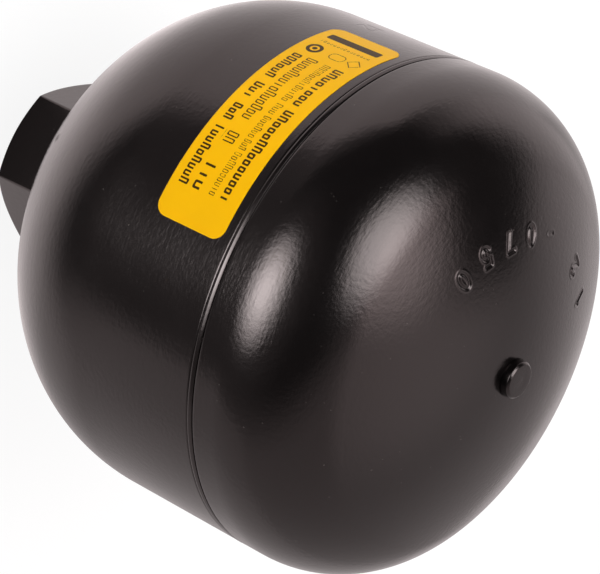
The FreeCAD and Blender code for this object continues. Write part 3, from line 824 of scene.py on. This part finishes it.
gas_inside = every_gas_column(np.concatenate([
    eased_outline([(SPOT_RADIUS + 0.09, spot_rim), (SPOT_RADIUS, spot_rim - 0.02),
                   (SPOT_RADIUS, SPOT_HEIGHT), (HOLE_RADIUS, SPOT_HEIGHT),
                   (HOLE_RADIUS, inner_gas_pole)], [0, 0.015, 0.08, 0.06, 0]),
    arc(GAS_CROWN_CENTRE, inner_gas_crown,
        np.linspace(math.degrees(math.acos(HOLE_RADIUS / inner_gas_crown)), gas_join, 18)[1:]),
    arc(GAS_SHOULDER_CENTRE, GAS_SHOULDER_RADIUS - WALL, np.linspace(gas_join, 0, 16)[1:]),
    eased_outline([(inner_wall_radius, 109.0), (inner_wall_radius, RECESS_TOP),
                   (RECESS_RADIUS, RECESS_TOP), (RECESS_RADIUS, GIRTH)], [0, 0.25, 0.25, 0]),
    straight((RECESS_RADIUS, GIRTH), (SHELL_RADIUS - WELD_GROOVE, GIRTH), 3)[1:],
]))
gas_section = np.concatenate([gas_outside, gas_inside])
print("gas shell section:", len(gas_outside), "rows outside and", len(gas_inside), "inside")

# %% [markdown]
# The crown's relief went into the section above, so building the mesh is one call. The paint ends
# at the edge of the plug's hole, and the inside gets the bare steel again.

# %% Build the gas shell
gas_shell, used = put_mesh("gas_shell_painted", spun(gas_section, gas_columns), along=True)
store_vectors(gas_shell, used, "spray_place", spray_place(gas_section, gas_columns))
gas_shell.data.materials.append(paint)
gas_shell.data.materials.append(turned_steel)
paint_rows(gas_shell, len(gas_columns), len(gas_outside) + SPOT_ROWS, len(gas_section) - 1,
           len(gas_shell.data.polygons))
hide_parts("gas_shell")
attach(gas_shell, "shell")
print("the same shell in CAD:", round(cad_volume("gas_shell")), "mm3")

# %% [markdown]
# ## The girth weld
# The weld is made by machine in one pass, so the bead is narrow and even: it fills the groove
# between the two shells and stands a few hundredths of a millimetre proud. A hair-thin open line is
# left beside the oil side and a wider one beside the gas side. The bead is highest beside the oil
# side and slopes down to the gas side, which is why it shows as one bright band. Its surface has
# faint scales, one for each beat of the arc: a sum of two waves round the girth, one bent into the
# arrow that a moving pool leaves. A torus with a bump texture would be less work, but the slope
# and the open lines are forms, so they are in the mesh.

# %% Weld bead
BEAD_HALF, BEAD_FOOT, BEAD_CROWN, SCALE_RISE = 0.65, 0.65, 0.075, 0.006
weld_columns = np.arange(0, 360, 0.5)
bead_line = eased_outline(
    [(SHELL_RADIUS - 0.2, -0.8), (SHELL_RADIUS - 0.02, -0.68), (SHELL_RADIUS + BEAD_CROWN, -0.34),
     (SHELL_RADIUS - 0.12, 0.44), (SHELL_RADIUS - BEAD_FOOT, 0.55)], [0, 0.1, 0.14, 0.08, 0])
across_bead = bead_line[:, 1:] / BEAD_HALF
weld_angle = np.radians(weld_columns)
scales = np.sin(300 * weld_angle + 2.2 * across_bead**2) + np.sin(47 * weld_angle + 1.3)
face = np.stack([bead_line[:, :1] + SCALE_RISE * (scales - 2),
                 GIRTH + bead_line[:, 1:] + 0 * scales], axis=-1)
root = np.broadcast_to((SHELL_RADIUS - WELD_GROOVE + 0.02, GIRTH), (1, len(weld_columns), 2))
weld_section = np.concatenate([face, root])
weld, used = put_mesh("weld_bead", spun(weld_section, weld_columns), along=True)
store_vectors(weld, used, "spray_place", spray_place(weld_section, weld_columns))
weld_paint = black_paint("enamel_over_the_weld", 0.00001)
weld.data.materials.append(weld_paint)
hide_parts("girth_weld")
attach(weld, "shell")
print("bead rises to", round(float(face[..., 0].max()), 3), "mm; in CAD",
      round(cad_volume("girth_weld")), "mm3")

# %% [markdown]
# ## The gas plug
# After charging, the fill hole is closed for good by a plug. Its round head stands on the spot
# face, with a chamfer that shows as a bright rim, and its flat face is turned. A bevelled cylinder
# would look the same from outside. The spun profile has the stem in the hole as well, in one
# closed piece.

# %% Gas plug
PLUG_RADIUS, PLUG_CHAMFER, STEM_RADIUS = 4.4, 0.5, 2.5
PLUG_TOP = GAS_POLE + 2.2
stem_foot = GAS_POLE - WALL
plug_section = np.concatenate([
    [(0, stem_foot)],
    eased_outline(
        [(1.5, stem_foot), (STEM_RADIUS, stem_foot), (STEM_RADIUS, SPOT_HEIGHT),
         (PLUG_RADIUS, SPOT_HEIGHT), (PLUG_RADIUS, PLUG_TOP - PLUG_CHAMFER),
         (PLUG_RADIUS - PLUG_CHAMFER, PLUG_TOP), (2.2, PLUG_TOP)],
        [0, 0.2, 0.05, 0.12, 0.14, 0.14, 0]),
    [(1.0, PLUG_TOP), (0, PLUG_TOP)],
])
plug_columns = np.arange(0, 360, 3.0)
plug, used = put_mesh("fill_plug", spun(plug_section, plug_columns), poles=(True, True), sharp=30)
store_vectors(plug, used, "spray_place", spray_place(plug_section, plug_columns))
plug.data.materials.append(paint)
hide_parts("gas_plug")
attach(plug, "shell")
print("in CAD", round(cad_volume("gas_plug")), "mm3")

# %% [markdown]
# ## The label
# A sheet of yellow film is stuck on the oil side beside the weld, and it follows the skirt. It
# could be a colour in the paint's material, but then it would have no edge to catch the light. Its
# grid has one direction round the skirt and one along it. At the ends the rows draw together along
# a quarter circle, which rounds the corners. It gets its thickness from a Solidify modifier.

# %% Label sheet
LABEL_LENGTH, LABEL_WIDTH, LABEL_CORNER = 66.7, 19.3, 3.0
LABEL_MIDDLE, LABEL_LOW = -87.4, 80.425
LABEL_RADIUS, FILM = 60.51, 0.08
end_steps = LABEL_LENGTH / 2 - LABEL_CORNER * (1 - np.sin(np.radians(np.linspace(0, 90, 13))))
middle_steps = np.linspace(-end_steps[0], end_steps[0], 305)
label_x = np.concatenate([-end_steps[::-1], middle_steps[1:-1], end_steps])
past = np.maximum(np.abs(label_x) - (LABEL_LENGTH / 2 - LABEL_CORNER), 0)
half_width = LABEL_WIDTH / 2 - LABEL_CORNER + np.sqrt(np.maximum(LABEL_CORNER**2 - past**2, 0))
share = np.linspace(-1, 1, 96)[:, None]
label_y = LABEL_WIDTH / 2 + share * half_width
outer = LABEL_RADIUS + FILM
label_angle = np.radians(LABEL_MIDDLE) + label_x / outer
label_grid = np.stack([
    outer * np.cos(label_angle) + 0 * label_y, outer * np.sin(label_angle) + 0 * label_y,
    LABEL_LOW + label_y,
], axis=-1)
print("label:", label_grid.shape[:2], "points, corners of", LABEL_CORNER, "mm")

# %% [markdown]
# ### What is printed on it
# The print is plain and generic: four lines of small blocks, two outlines, a round badge, and a bar
# with a thin line at the far end. Each point of the sheet keeps its distance to the nearest edge
# of the print, negative inside a block, and the material cuts this field at zero. That gives crisp
# edges on a fairly coarse grid.


# %% Rows of blocks
def block_row(start, end, low, tall, block, gap, stroke, seed):
    """Upright blocks side by side: middle x, middle y, half width, half height, rounding, stroke,
    and which side is open: 1 the top, -1 the bottom, 0 none.

    Blocks of about the given width fill the stretch from start to end.  Some are taller than the
    others, some are narrowed to a bar and some have an open side.  Chance is stood in for by the
    digits behind the point of a large multiple of a sine, so each seed gives one fixed order.
    """
    count = max(1, round((end - start + gap) / (block + gap)))
    width = (end - start + gap) / count - gap
    number = np.arange(count)
    mixing = np.sin(number * 12.9898 + seed * 78.233) * 43758.5453
    chance = mixing - np.floor(mixing)
    height = np.where((chance > 0.66) | (number == 0), tall, 0.74 * tall)
    left = start + number * (width + gap)
    bar = (chance > 0.3) & (chance < 0.45)
    half = np.where(bar, stroke / 2, width / 2)
    open_side = np.select([bar, chance < 0.22, chance > 0.72], [0, 1, -1], 0)
    return np.stack([left + width / 2, low + height / 2, half, height / 2, 0.45 * half,
                     0 * left + stroke, open_side], axis=1)


def stood_on_end(row, foot):
    """Blocks turned a quarter turn, with their feet on the line x = foot."""
    x, y, half_width_of, half_height, rounding, stroke, _ = row.T
    return np.stack([foot - y, x, half_height, half_width_of, rounding, stroke, 0 * x], axis=1)


print("middles of a row of blocks:", block_row(0, 6, 0, 2, 1.6, 0.4, 0.3, 1)[:, 0].tolist())

# %% [markdown]
# The five rows make four lines, as the third line has both thin blocks and bold ones. The bar at
# the far end is one block, and the thin line beside it is a row stood on end.

# %% Lines of the print
LINES = [
    # low edge, height, block width, gap, stroke, stretches as (start, end), all in mm
    (13.9, 2.5, 1.45, 0.4, 0.48, [(17.1, 31.6), (33.6, 58.6)]),
    (10.75, 2.0, 0.85, 0.33, 0.2,
     [(17.1, 31.6), (32.9, 36.1), (37.0, 43.2), (43.9, 46.6), (47.5, 58.4)]),
    (6.0, 3.0, 1.15, 0.42, 0.3, [(16.9, 39.6), (43.6, 46.4)]),
    (6.0, 2.8, 1.9, 0.5, 0.55, [(51.6, 58.6)]),
    (2.1, 2.5, 1.4, 0.42, 0.46, [(17.1, 27.1), (29.6, 34.6), (36.8, 41.4), (43.2, 58.6)]),
]
blocks = np.concatenate([
    block_row(start, end, low, tall, block, gap, stroke, seed + 10 * row)
    for row, (low, tall, block, gap, stroke, stretches) in enumerate(LINES)
    for seed, (start, end) in enumerate(stretches)
])
BAR = (5.6, 9.6, 1.25, 7.3, 0.5, 2.5, 0)
DASH = (45.0, 5.35, 1.5, 0.07, 0.0, 0.2, 0)
thin_line = stood_on_end(block_row(2.6, 16.6, 0, 0.95, 0.6, 0.35, 0.16, 8), 9.3)
blocks = np.concatenate([blocks, [BAR, DASH], thin_line])
print("print:", len(blocks), "blocks")

# %% [markdown]
# Distances make shapes easy to join and cut. The lesser of two distances joins two shapes, the
# greater keeps what both have, and the absolute value less half a width leaves an outline.


# %% Distance field of the print
def block_distance(x, y, block):
    """Distance to a rounded rectangle: outside, to the nearest corner or side; inside, negative."""
    across = np.abs(x - block[0]) - block[2] + block[4]
    up = np.abs(y - block[1]) - block[3] + block[4]
    outside_part = np.hypot(np.maximum(across, 0), np.maximum(up, 0))
    return outside_part + np.minimum(np.maximum(across, up), 0) - block[4]


def outlined(distance, width):
    """The outline of a shape, of this width, instead of the shape itself."""
    return np.abs(distance) - width / 2


def lozenge_distance(x, y, centre, size):
    """Distance to a square that stands on its corner."""
    return (np.abs(x - centre[0]) + np.abs(y - centre[1]) - size) / math.sqrt(2)


LOZENGE, LOZENGE_SIZE = (13.0, 15.6), 1.75
CAPSULE, THIN_STROKE = (13.0, 10.9, 1.3, 2.0, 1.2), 0.22
BADGE, BADGE_OUT, BADGE_IN, BADGE_DOT = (12.9, 4.3), 2.0, 1.15, 0.62
FAR_FROM_PRINT = 9.0
ink_x = label_x + LABEL_LENGTH / 2 + 0 * label_y
ink = np.full(ink_x.shape, FAR_FROM_PRINT)
for block in blocks:
    # A block with an open side is drawn longer by its stroke, and cut off at its own height.
    stroke, open_side = block[5], block[6]
    reach = stroke * abs(open_side)
    longer = block + np.array([0, 0.5 * open_side * reach, 0, 0.5 * reach, 0, 0, 0])
    drawn = outlined(block_distance(ink_x, label_y, longer) + stroke / 2, stroke)
    past_side = np.abs(label_y - block[1]) - block[3]
    ink = np.minimum(ink, np.maximum(drawn, past_side) if open_side else drawn)
from_badge = np.hypot(ink_x - BADGE[0], label_y - BADGE[1])
for shape in (
    outlined(lozenge_distance(ink_x, label_y, LOZENGE, LOZENGE_SIZE), THIN_STROKE),
    outlined(block_distance(ink_x, label_y, CAPSULE), THIN_STROKE),
    np.maximum(from_badge - BADGE_OUT, BADGE_IN - from_badge),
    from_badge - BADGE_DOT,
):
    ink = np.minimum(ink, shape)
print("share of the label that is printed:", round(float((ink < 0).mean()), 3))

# %% [markdown]
# The field is stored on the sheet, and the film's material turns it into ink. A fine grain is
# added to it first, so that the edges of the print are slightly ragged, as real ones are.


# %% Label film and its material
def yellow_film():
    """Satin yellow film: dark print where the field is below zero, faint mottling elsewhere."""
    made, tree, surface = new_finish("yellow_film", {
        "Metallic": 0.0, "Specular IOR Level": 0.3, "Specular Tint": (1.0, 0.75, 0.1, 1.0),
    })
    place = add_node(tree, "ShaderNodeTexCoord").outputs["Object"]
    field = add_node(tree, "ShaderNodeAttribute", attribute_name="ink").outputs["Fac"]
    grain = noise(tree, place, 2400, 2.0)
    ragged = calculate(tree, "ADD", field, between(tree, grain, 0.3, 0.7, -0.03, 0.03))
    inked = between(tree, ragged, -0.03, 0.03, 1.0, 0.0)
    cloud = noise(tree, place, 130, 3.0)
    film = mixed_colour(tree, cloud, (0.86, 0.45, 0.0), (0.92, 0.49, 0.0))
    printed = mixed_colour(tree, inked, film, (0.03, 0.012, 0.004))
    tree.links.new(printed, surface.inputs["Base Color"])
    tree.links.new(between(tree, grain, 0.3, 0.7, 0.42, 0.52), surface.inputs["Roughness"])
    raise_relief(tree, surface, noise(tree, place, 500, 2.0), 0.00001)
    return made


label, used = put_mesh("label_film", label_grid, around=False)
ink_attribute = label.data.attributes.new("ink", "FLOAT", "POINT")
ink_attribute.data.foreach_set("value", ink.reshape(-1)[used].astype(np.float32))
label.data.materials.append(yellow_film())
thickness = label.modifiers.new("film", "SOLIDIFY")
thickness.thickness = FILM * MM
thickness.offset = -1
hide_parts("label")
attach(label, "shell")

# %% [markdown]
# ## The rubber diaphragm
# The diaphragm lies against the oil side with a hair's breadth of clearance, 2.5 mm thick, with a
# bead round its rim and a thick middle that holds the button. When oil comes in, the button rises
# and the diaphragm turns inside out. Here it is built in its rest shape only and does not move
# with the button. It is hidden inside the vessel.

# %% Diaphragm
RUBBER, CLEARANCE = 2.5, 0.4
under, over = WALL + CLEARANCE, WALL + CLEARANCE + RUBBER
POCKET_RADIUS, MIDDLE_RADIUS, MIDDLE_TOP, POCKET_TOP = 15.5, 18.0, 33.5, 31.0
BEAD_OUT, BEAD_TOP = 56.4, 98.625


def oil_arc(crown_or_shoulder, inward, start, end, count):
    """An arc parallel to the oil shell's outside, this far inside it."""
    centre, radius = {
        "crown": (CROWN_CENTRE, CROWN_RADIUS), "shoulder": (SHOULDER_CENTRE, SHOULDER_RADIUS)
    }[crown_or_shoulder]
    return arc(centre, radius - inward, np.linspace(start, end, count))


pocket_angle = -math.degrees(math.acos(POCKET_RADIUS / (CROWN_RADIUS - under)))
foot_angle = -math.degrees(math.acos((MIDDLE_RADIUS + 1.2) / (CROWN_RADIUS - over)))
foot = arc(CROWN_CENTRE, CROWN_RADIUS - over, foot_angle)
rubber_section = np.concatenate([
    [(0, POCKET_TOP)],
    eased_outline(
        [(5, POCKET_TOP), (POCKET_RADIUS, POCKET_TOP), (POCKET_RADIUS, 27.9)], [0, 0.5, 0]),
    oil_arc("crown", under, pocket_angle, join_angle, 12),
    oil_arc("shoulder", under, join_angle, 0, 34)[1:],
    straight((SHELL_RADIUS - under, 71), (SHELL_RADIUS - under, 93), 10),
    eased_outline(
        [(SHELL_RADIUS - under, 93.5), (SHELL_RADIUS - under, LEDGE), (BEAD_OUT, LEDGE),
         (BEAD_OUT, BEAD_TOP), (SHELL_RADIUS - over, BEAD_TOP), (SHELL_RADIUS - over, 96)],
        [0, 0.3, 0.8, 0.8, 0.6, 0]),
    straight((SHELL_RADIUS - over, 95), (SHELL_RADIUS - over, 70), 11),
    oil_arc("shoulder", over, 0, join_angle, 34),
    oil_arc("crown", over, join_angle, foot_angle, 10)[1:],
    eased(foot, (MIDDLE_RADIUS, foot[1] - 0.2), (MIDDLE_RADIUS, MIDDLE_TOP), 1.1, 6),
    eased_outline(
        [(MIDDLE_RADIUS, 32), (MIDDLE_RADIUS, MIDDLE_TOP), (10, MIDDLE_TOP)], [0, 0.8, 0]),
    [(0, MIDDLE_TOP)],
])
rubber, used = put_mesh("rubber_diaphragm", spun(rubber_section, np.arange(0, 360, 2.5)),
                        poles=(True, True))
print("in CAD", round(cad_volume("diaphragm")), "mm3")

# %% [markdown]
# Moulded rubber is matt and never quite black, since a grey bloom dries on it.


# %% Rubber
def moulded_rubber():
    """Matt black nitrile rubber with a fine moulded grain and a faint bloom."""
    made, tree, surface = new_finish(
        "moulded_nitrile", {"Metallic": 0.0, "Specular IOR Level": 0.35})
    place = add_node(tree, "ShaderNodeTexCoord").outputs["Object"]
    grain = noise(tree, place, 2800, 3.0)
    raise_relief(tree, surface, grain, 0.00003)
    bloom = noise(tree, place, 70, 4.0, 0.6)
    tree.links.new(mixed_colour(tree, bloom, (0.022, 0.022, 0.024), (0.042, 0.041, 0.04)),
                   surface.inputs["Base Color"])
    tree.links.new(between(tree, bloom, 0.3, 0.7, 0.6, 0.75), surface.inputs["Roughness"])
    return made


rubber.data.materials.append(moulded_rubber())
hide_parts("diaphragm")
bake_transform(rubber)

# %% [markdown]
# ## The clamp ring and the button
# A steel band presses the diaphragm's bead on its ledge and backs up the weld. The button is a
# plain disc, bonded under the diaphragm, that lies on its seat when there is no oil. Both are
# simple turned forms, so they take the same way as the shells: a profile with eased corners, spun.

# %% Clamp ring
RING_TOP = 107.025
ring_section = eased_outline(
    [(inner_wall_radius, BEAD_TOP), (BEAD_OUT, BEAD_TOP), (BEAD_OUT, RING_TOP),
     (inner_wall_radius, RING_TOP)], [0.8, 0.2, 0.2, 0.8], closed=True)
ring, used = put_mesh("ring_band", spun(ring_section, np.arange(0, 360, 2.0)), along=True)
ring.data.materials.append(turned_steel)
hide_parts("clamp_ring")
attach(ring, "shell")
print("in CAD", round(cad_volume("clamp_ring")), "mm3")

# %% [markdown]
# The button's top edge is eased far more than its lower one, so that it can't cut the rubber that
# rolls over it. Its lower face is the one that closes the passage, so it stays flat.

# %% Valve button
BUTTON_RADIUS, BUTTON_TOP = 15.0, 31.0
button_section = np.concatenate([
    [(0, SEAT), (4, SEAT), (10, SEAT)],
    eased_outline(
        [(14, SEAT), (BUTTON_RADIUS, SEAT), (BUTTON_RADIUS, BUTTON_TOP), (10, BUTTON_TOP)],
        [0, 0.2, 1.2, 0]),
    [(4, BUTTON_TOP), (0, BUTTON_TOP)],
])
button, used = put_mesh(
    "closing_button", spun(button_section, np.arange(0, 360, 3.0)), poles=(True, True))
button.data.materials.append(plated_steel)
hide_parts("valve_button")
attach(button, "valve")
print("in CAD", round(cad_volume("valve_button")), "mm3")

# %% [markdown]
# ## The floor
# The vessel stands on a round pale table. The camera sees it as nearly white, as the photograph's
# background is, and it keeps the vessel's soft shadow. A flat polygon is enough for it. It lies a
# twentieth of a millimetre under the port's face, so that the two never share a plane.

# %% Table top
TABLE_RADIUS, TABLE_GAP = 1.3, 0.00005
table_rim = np.radians(np.arange(0, 360, 1.5))
table_points = np.stack([
    TABLE_RADIUS * np.cos(table_rim), TABLE_RADIUS * np.sin(table_rim), 0 * table_rim - TABLE_GAP
], axis=1)
table_mesh = bpy.data.meshes.new("table_top")
table_mesh.from_pydata(table_points.tolist(), [], [list(range(len(table_points)))])
table_top = bpy.data.objects.new("table_top", table_mesh)
bpy.context.scene.collection.objects.link(table_top)
print("table:", 2 * TABLE_RADIUS, "m across")

# %% [markdown]
# Mirror rays from the paint find the table brightest in a ring round the foot, and dimmer on the
# far side. Two numbers give these places: how far a point lies from the axis, and how far it lies
# in one direction, which is the dot product of the point and that direction.


# %% Floor paint and its glow
floor_paint = bpy.data.materials.new("pale_floor")
floor_paint.use_nodes = True
tree = floor_paint.node_tree
tree.nodes["Principled BSDF"].inputs["Base Color"].default_value = (0.8, 0.8, 0.8, 1)
tree.nodes["Principled BSDF"].inputs["Roughness"].default_value = 0.7
path = add_node(tree, "ShaderNodeLightPath").outputs
seen = calculate(tree, "MAXIMUM", path["Is Camera Ray"], path["Is Glossy Ray"])
place = add_node(tree, "ShaderNodeTexCoord").outputs["Object"]


def floor_distance(azimuth):
    """How far a point of the floor lies from the axis in one direction, in metres."""
    a = math.radians(azimuth)
    towards = {0: place, 1: (math.cos(a), math.sin(a), 0.0)}
    return add_node(tree, "ShaderNodeVectorMath", towards, operation="DOT_PRODUCT").outputs["Value"]


away = add_node(tree, "ShaderNodeVectorMath", {0: place}, operation="LENGTH").outputs["Value"]
round_foot = calculate(
    tree, "MULTIPLY", between(tree, away, 0.027, 0.041, 0.64, 1.0),
    between(tree, away, 0.056, 0.08, 1.0, 0.64),
)
far_side = calculate(
    tree, "MULTIPLY", between(tree, floor_distance(75), 0.0, 0.09, 1.0, 0.66),
    between(tree, floor_distance(15), 0.0, 0.045, 1.0, 0.78),
)
MIRRORED_GLOW, SHARE_OF_GLOW = 1.85, 0.8
in_paint = calculate(
    tree, "MULTIPLY", calculate(tree, "MULTIPLY", round_foot, far_side), MIRRORED_GLOW)
tint = mixed_colour(tree, path["Is Glossy Ray"], (1.12, 1.12, 1.12), (1.0, 0.9, 0.9))
strength = calculate(
    tree, "ADD", 1.0, calculate(tree, "MULTIPLY", path["Is Glossy Ray"],
                                calculate(tree, "SUBTRACT", in_paint, 1.0)))
glow = add_node(tree, "ShaderNodeEmission", {"Color": tint, "Strength": strength}).outputs[0]
share_of_glow = calculate(tree, "MULTIPLY", seen, SHARE_OF_GLOW)
lit = tree.nodes["Principled BSDF"].outputs[0]
top = add_node(tree, "ShaderNodeMixShader", {0: share_of_glow, 1: lit, 2: glow}).outputs[0]
print("floor paint so far:", len(tree.nodes), "nodes")

# %% [markdown]
# In front of the vessel, mirror and shadow rays pass through the table and find the dark room and
# the low soft box. The edge of this opening flares to one side, and near the vessel the opening is
# veiled on both sides, so that it lets less through there. Close to the facing flat of the hexagon
# the table is open to mirror rays too, so that they find the flat's own shade. From below it is
# open to the camera, which shows the port.

# %% Openings in the floor
in_front, aside = floor_distance(-45), floor_distance(45)
flare = between(tree, aside, -0.19, 0.025, 0.032, -0.004)
past_edge = between(
    tree, calculate(tree, "SUBTRACT", in_front, flare), 0.066, 0.095, 0.0, 1.0)
left_veil = calculate(
    tree, "MAXIMUM", between(tree, aside, -0.16, -0.06, 0.8, 1.0),
    between(tree, in_front, 0.13, 0.19, 0.0, 1.0))
slanting = calculate(tree, "SUBTRACT", in_front, calculate(tree, "MULTIPLY", aside, 0.6))
right_veil = calculate(
    tree, "MAXIMUM", between(tree, aside, 0.04, 0.1, 1.0, 0.38),
    between(tree, slanting, 0.062, 0.1, 0.0, 1.0))
veiled = calculate(tree, "MULTIPLY", left_veil, right_veil)
passing = calculate(tree, "MAXIMUM", path["Is Shadow Ray"], path["Is Glossy Ray"])
opening = calculate(tree, "MULTIPLY", past_edge, calculate(tree, "MULTIPLY", veiled, passing))

close_by = calculate(
    tree, "MULTIPLY", between(tree, path["Ray Length"], 0.024, 0.031, 1.0, 0.0),
    path["Is Glossy Ray"])
along_flat = calculate(tree, "ABSOLUTE", floor_distance(30), 0.0)
before_flat = calculate(
    tree, "MULTIPLY", between(tree, floor_distance(-60), 0.012, 0.018, 0.0, 1.0),
    between(tree, along_flat, 0.012, 0.014, 1.0, 0.0))
backfacing = add_node(tree, "ShaderNodeNewGeometry").outputs["Backfacing"]
from_below = calculate(tree, "MULTIPLY", backfacing, path["Is Camera Ray"])
hole = calculate(tree, "MAXIMUM", opening, calculate(tree, "MULTIPLY", close_by, before_flat))
hole = calculate(tree, "MAXIMUM", hole, from_below)
clear = add_node(tree, "ShaderNodeBsdfTransparent").outputs[0]
mix = add_node(tree, "ShaderNodeMixShader", {0: hole, 1: top, 2: clear})
tree.links.new(mix.outputs[0], tree.nodes["Material Output"].inputs["Surface"])
table_mesh.materials.append(floor_paint)
print("floor paint:", len(tree.nodes), "nodes")

# %% [markdown]
# ## Light
# Two large soft boxes and a pale room with a dark side light the vessel. Each box is built from
# five oval lamps of rising size, so that it fades towards its rim as a diffuser does. Their
# directions come from where the highlights lie on the vessel: a mirror image on a known surface
# tells which way the light came from. A ready-made picture of a studio could light it too, but
# lamps and formulas can be moved one by one until the highlights lie right.


# %% Soft boxes
AIM = Vector((0, 0, 0.11))
LAMP_STEP = 0.01


def soft_box(name, azimuth, elevation, distance, half_angles, widening, radiance):
    """Oval lamps on one axis, one a little behind the other, that face the vessel's middle.

    A lamp's power is its radiance times pi times its area, and an oval's area is pi / 4 times its
    width times its height.
    """
    a, e = math.radians(azimuth), math.radians(elevation)
    direction = Vector((math.cos(a) * math.cos(e), math.sin(a) * math.cos(e), math.sin(e)))
    for number, half_angle in enumerate(half_angles):
        lamp = bpy.data.lights.new(f"{name}_{number}", "AREA")
        lamp.shape = "ELLIPSE"
        lamp.size_y = 2 * distance * math.tan(math.radians(half_angle))
        lamp.size = lamp.size_y * widening
        area = math.pi / 4 * lamp.size * lamp.size_y
        lamp.energy = radiance * math.pi * area
        placed = bpy.data.objects.new(lamp.name, lamp)
        bpy.context.scene.collection.objects.link(placed)
        placed.location = AIM + direction * (distance + LAMP_STEP * number)
        placed.rotation_mode = "QUATERNION"
        placed.rotation_quaternion = direction.to_track_quat("Z", "Y")
        placed.visible_camera = False
        print(lamp.name, round(lamp.size, 2), "m wide,", round(lamp.energy, 1), "W")


soft_box("side_box", -46, -10.6, 1.5, (6, 9, 12, 15.5, 20), 1.2, 2.2)
soft_box("top_box", -101.5, 60, 1.3, (11, 15, 18, 21, 25), 1.0, 1.14)

# %% [markdown]
# The room is a world whose brightness depends on the direction only. It is a sum of six smooth
# glows: a broad one behind the vessel, a low one to the side, two overhead, of which one is small
# and bright, a weak one in front, and one that takes light away. Where they leave next to nothing,
# mostly on the camera's side, the room is dark. A camera ray sees plain white instead.


# %% Room
world = bpy.data.worlds.new("studio")
bpy.context.scene.world = world
world.use_nodes = True
tree = world.node_tree
tree.nodes.clear()
direction = add_node(tree, "ShaderNodeTexCoord").outputs["Generated"]


def glow_towards(azimuth, elevation, start, full, brightness):
    """A brightness that rises smoothly with the cosine of the angle to a direction.

    It is nothing where that cosine is below start, and it is whole where the cosine reaches full.
    """
    a, e = math.radians(azimuth), math.radians(elevation)
    towards = (math.cos(a) * math.cos(e), math.sin(a) * math.cos(e), math.sin(e))
    facing = add_node(
        tree, "ShaderNodeVectorMath", {0: direction, 1: towards}, operation="DOT_PRODUCT"
    ).outputs["Value"]
    inputs = {"Value": facing, "From Min": start, "From Max": full}
    inputs.update({"To Min": 0.0, "To Max": brightness})
    return add_node(
        tree, "ShaderNodeMapRange", inputs, interpolation_type="SMOOTHSTEP"
    ).outputs["Result"]


print("the world starts with", len(tree.nodes), "node")

# %% [markdown]
# The places and sizes of the glows were worked out backwards from the photograph, from how bright
# the paint is where it mirrors each part of the room.

# %% Glows
glows = [
    glow_towards(105, 0, -0.46, 0.17, 0.485),     # broad, behind the vessel
    glow_towards(175, -12.6, 0.49, 1.0, 0.72),    # low, to the side
    glow_towards(110, 67.3, 0.83, 1.05, 0.49),    # overhead, towards the back
    glow_towards(-148, 73, 0.9, 1.1, 6.1),        # overhead, small and bright
    glow_towards(-46, -14, 0.5, 1.0, 0.2),        # weak, in front
    glow_towards(188, 46, 0.8, 0.961, -0.7),      # takes light away, half way up
]
DARKEST = 0.05
brightness = glows[0]
for glow in glows[1:]:
    brightness = calculate(tree, "ADD", brightness, glow)
brightness = calculate(tree, "MAXIMUM", brightness, DARKEST)
room = add_node(
    tree, "ShaderNodeBackground", {"Color": (1, 0.9, 0.9, 1), "Strength": brightness}
).outputs[0]
white = add_node(
    tree, "ShaderNodeBackground", {"Color": (1, 1, 1, 1), "Strength": 1.0}
).outputs[0]
seen = add_node(tree, "ShaderNodeLightPath").outputs["Is Camera Ray"]
mix = add_node(tree, "ShaderNodeMixShader", {0: seen, 1: room, 2: white})
add_node(tree, "ShaderNodeOutputWorld", {"Surface": mix.outputs[0]})
print("world:", len(tree.nodes), "nodes")

# %% [markdown]
# ## Colour management
# The plain view transform keeps colours as they are written.

# %% Finish
bpy.context.scene.view_settings.view_transform = "Standard"
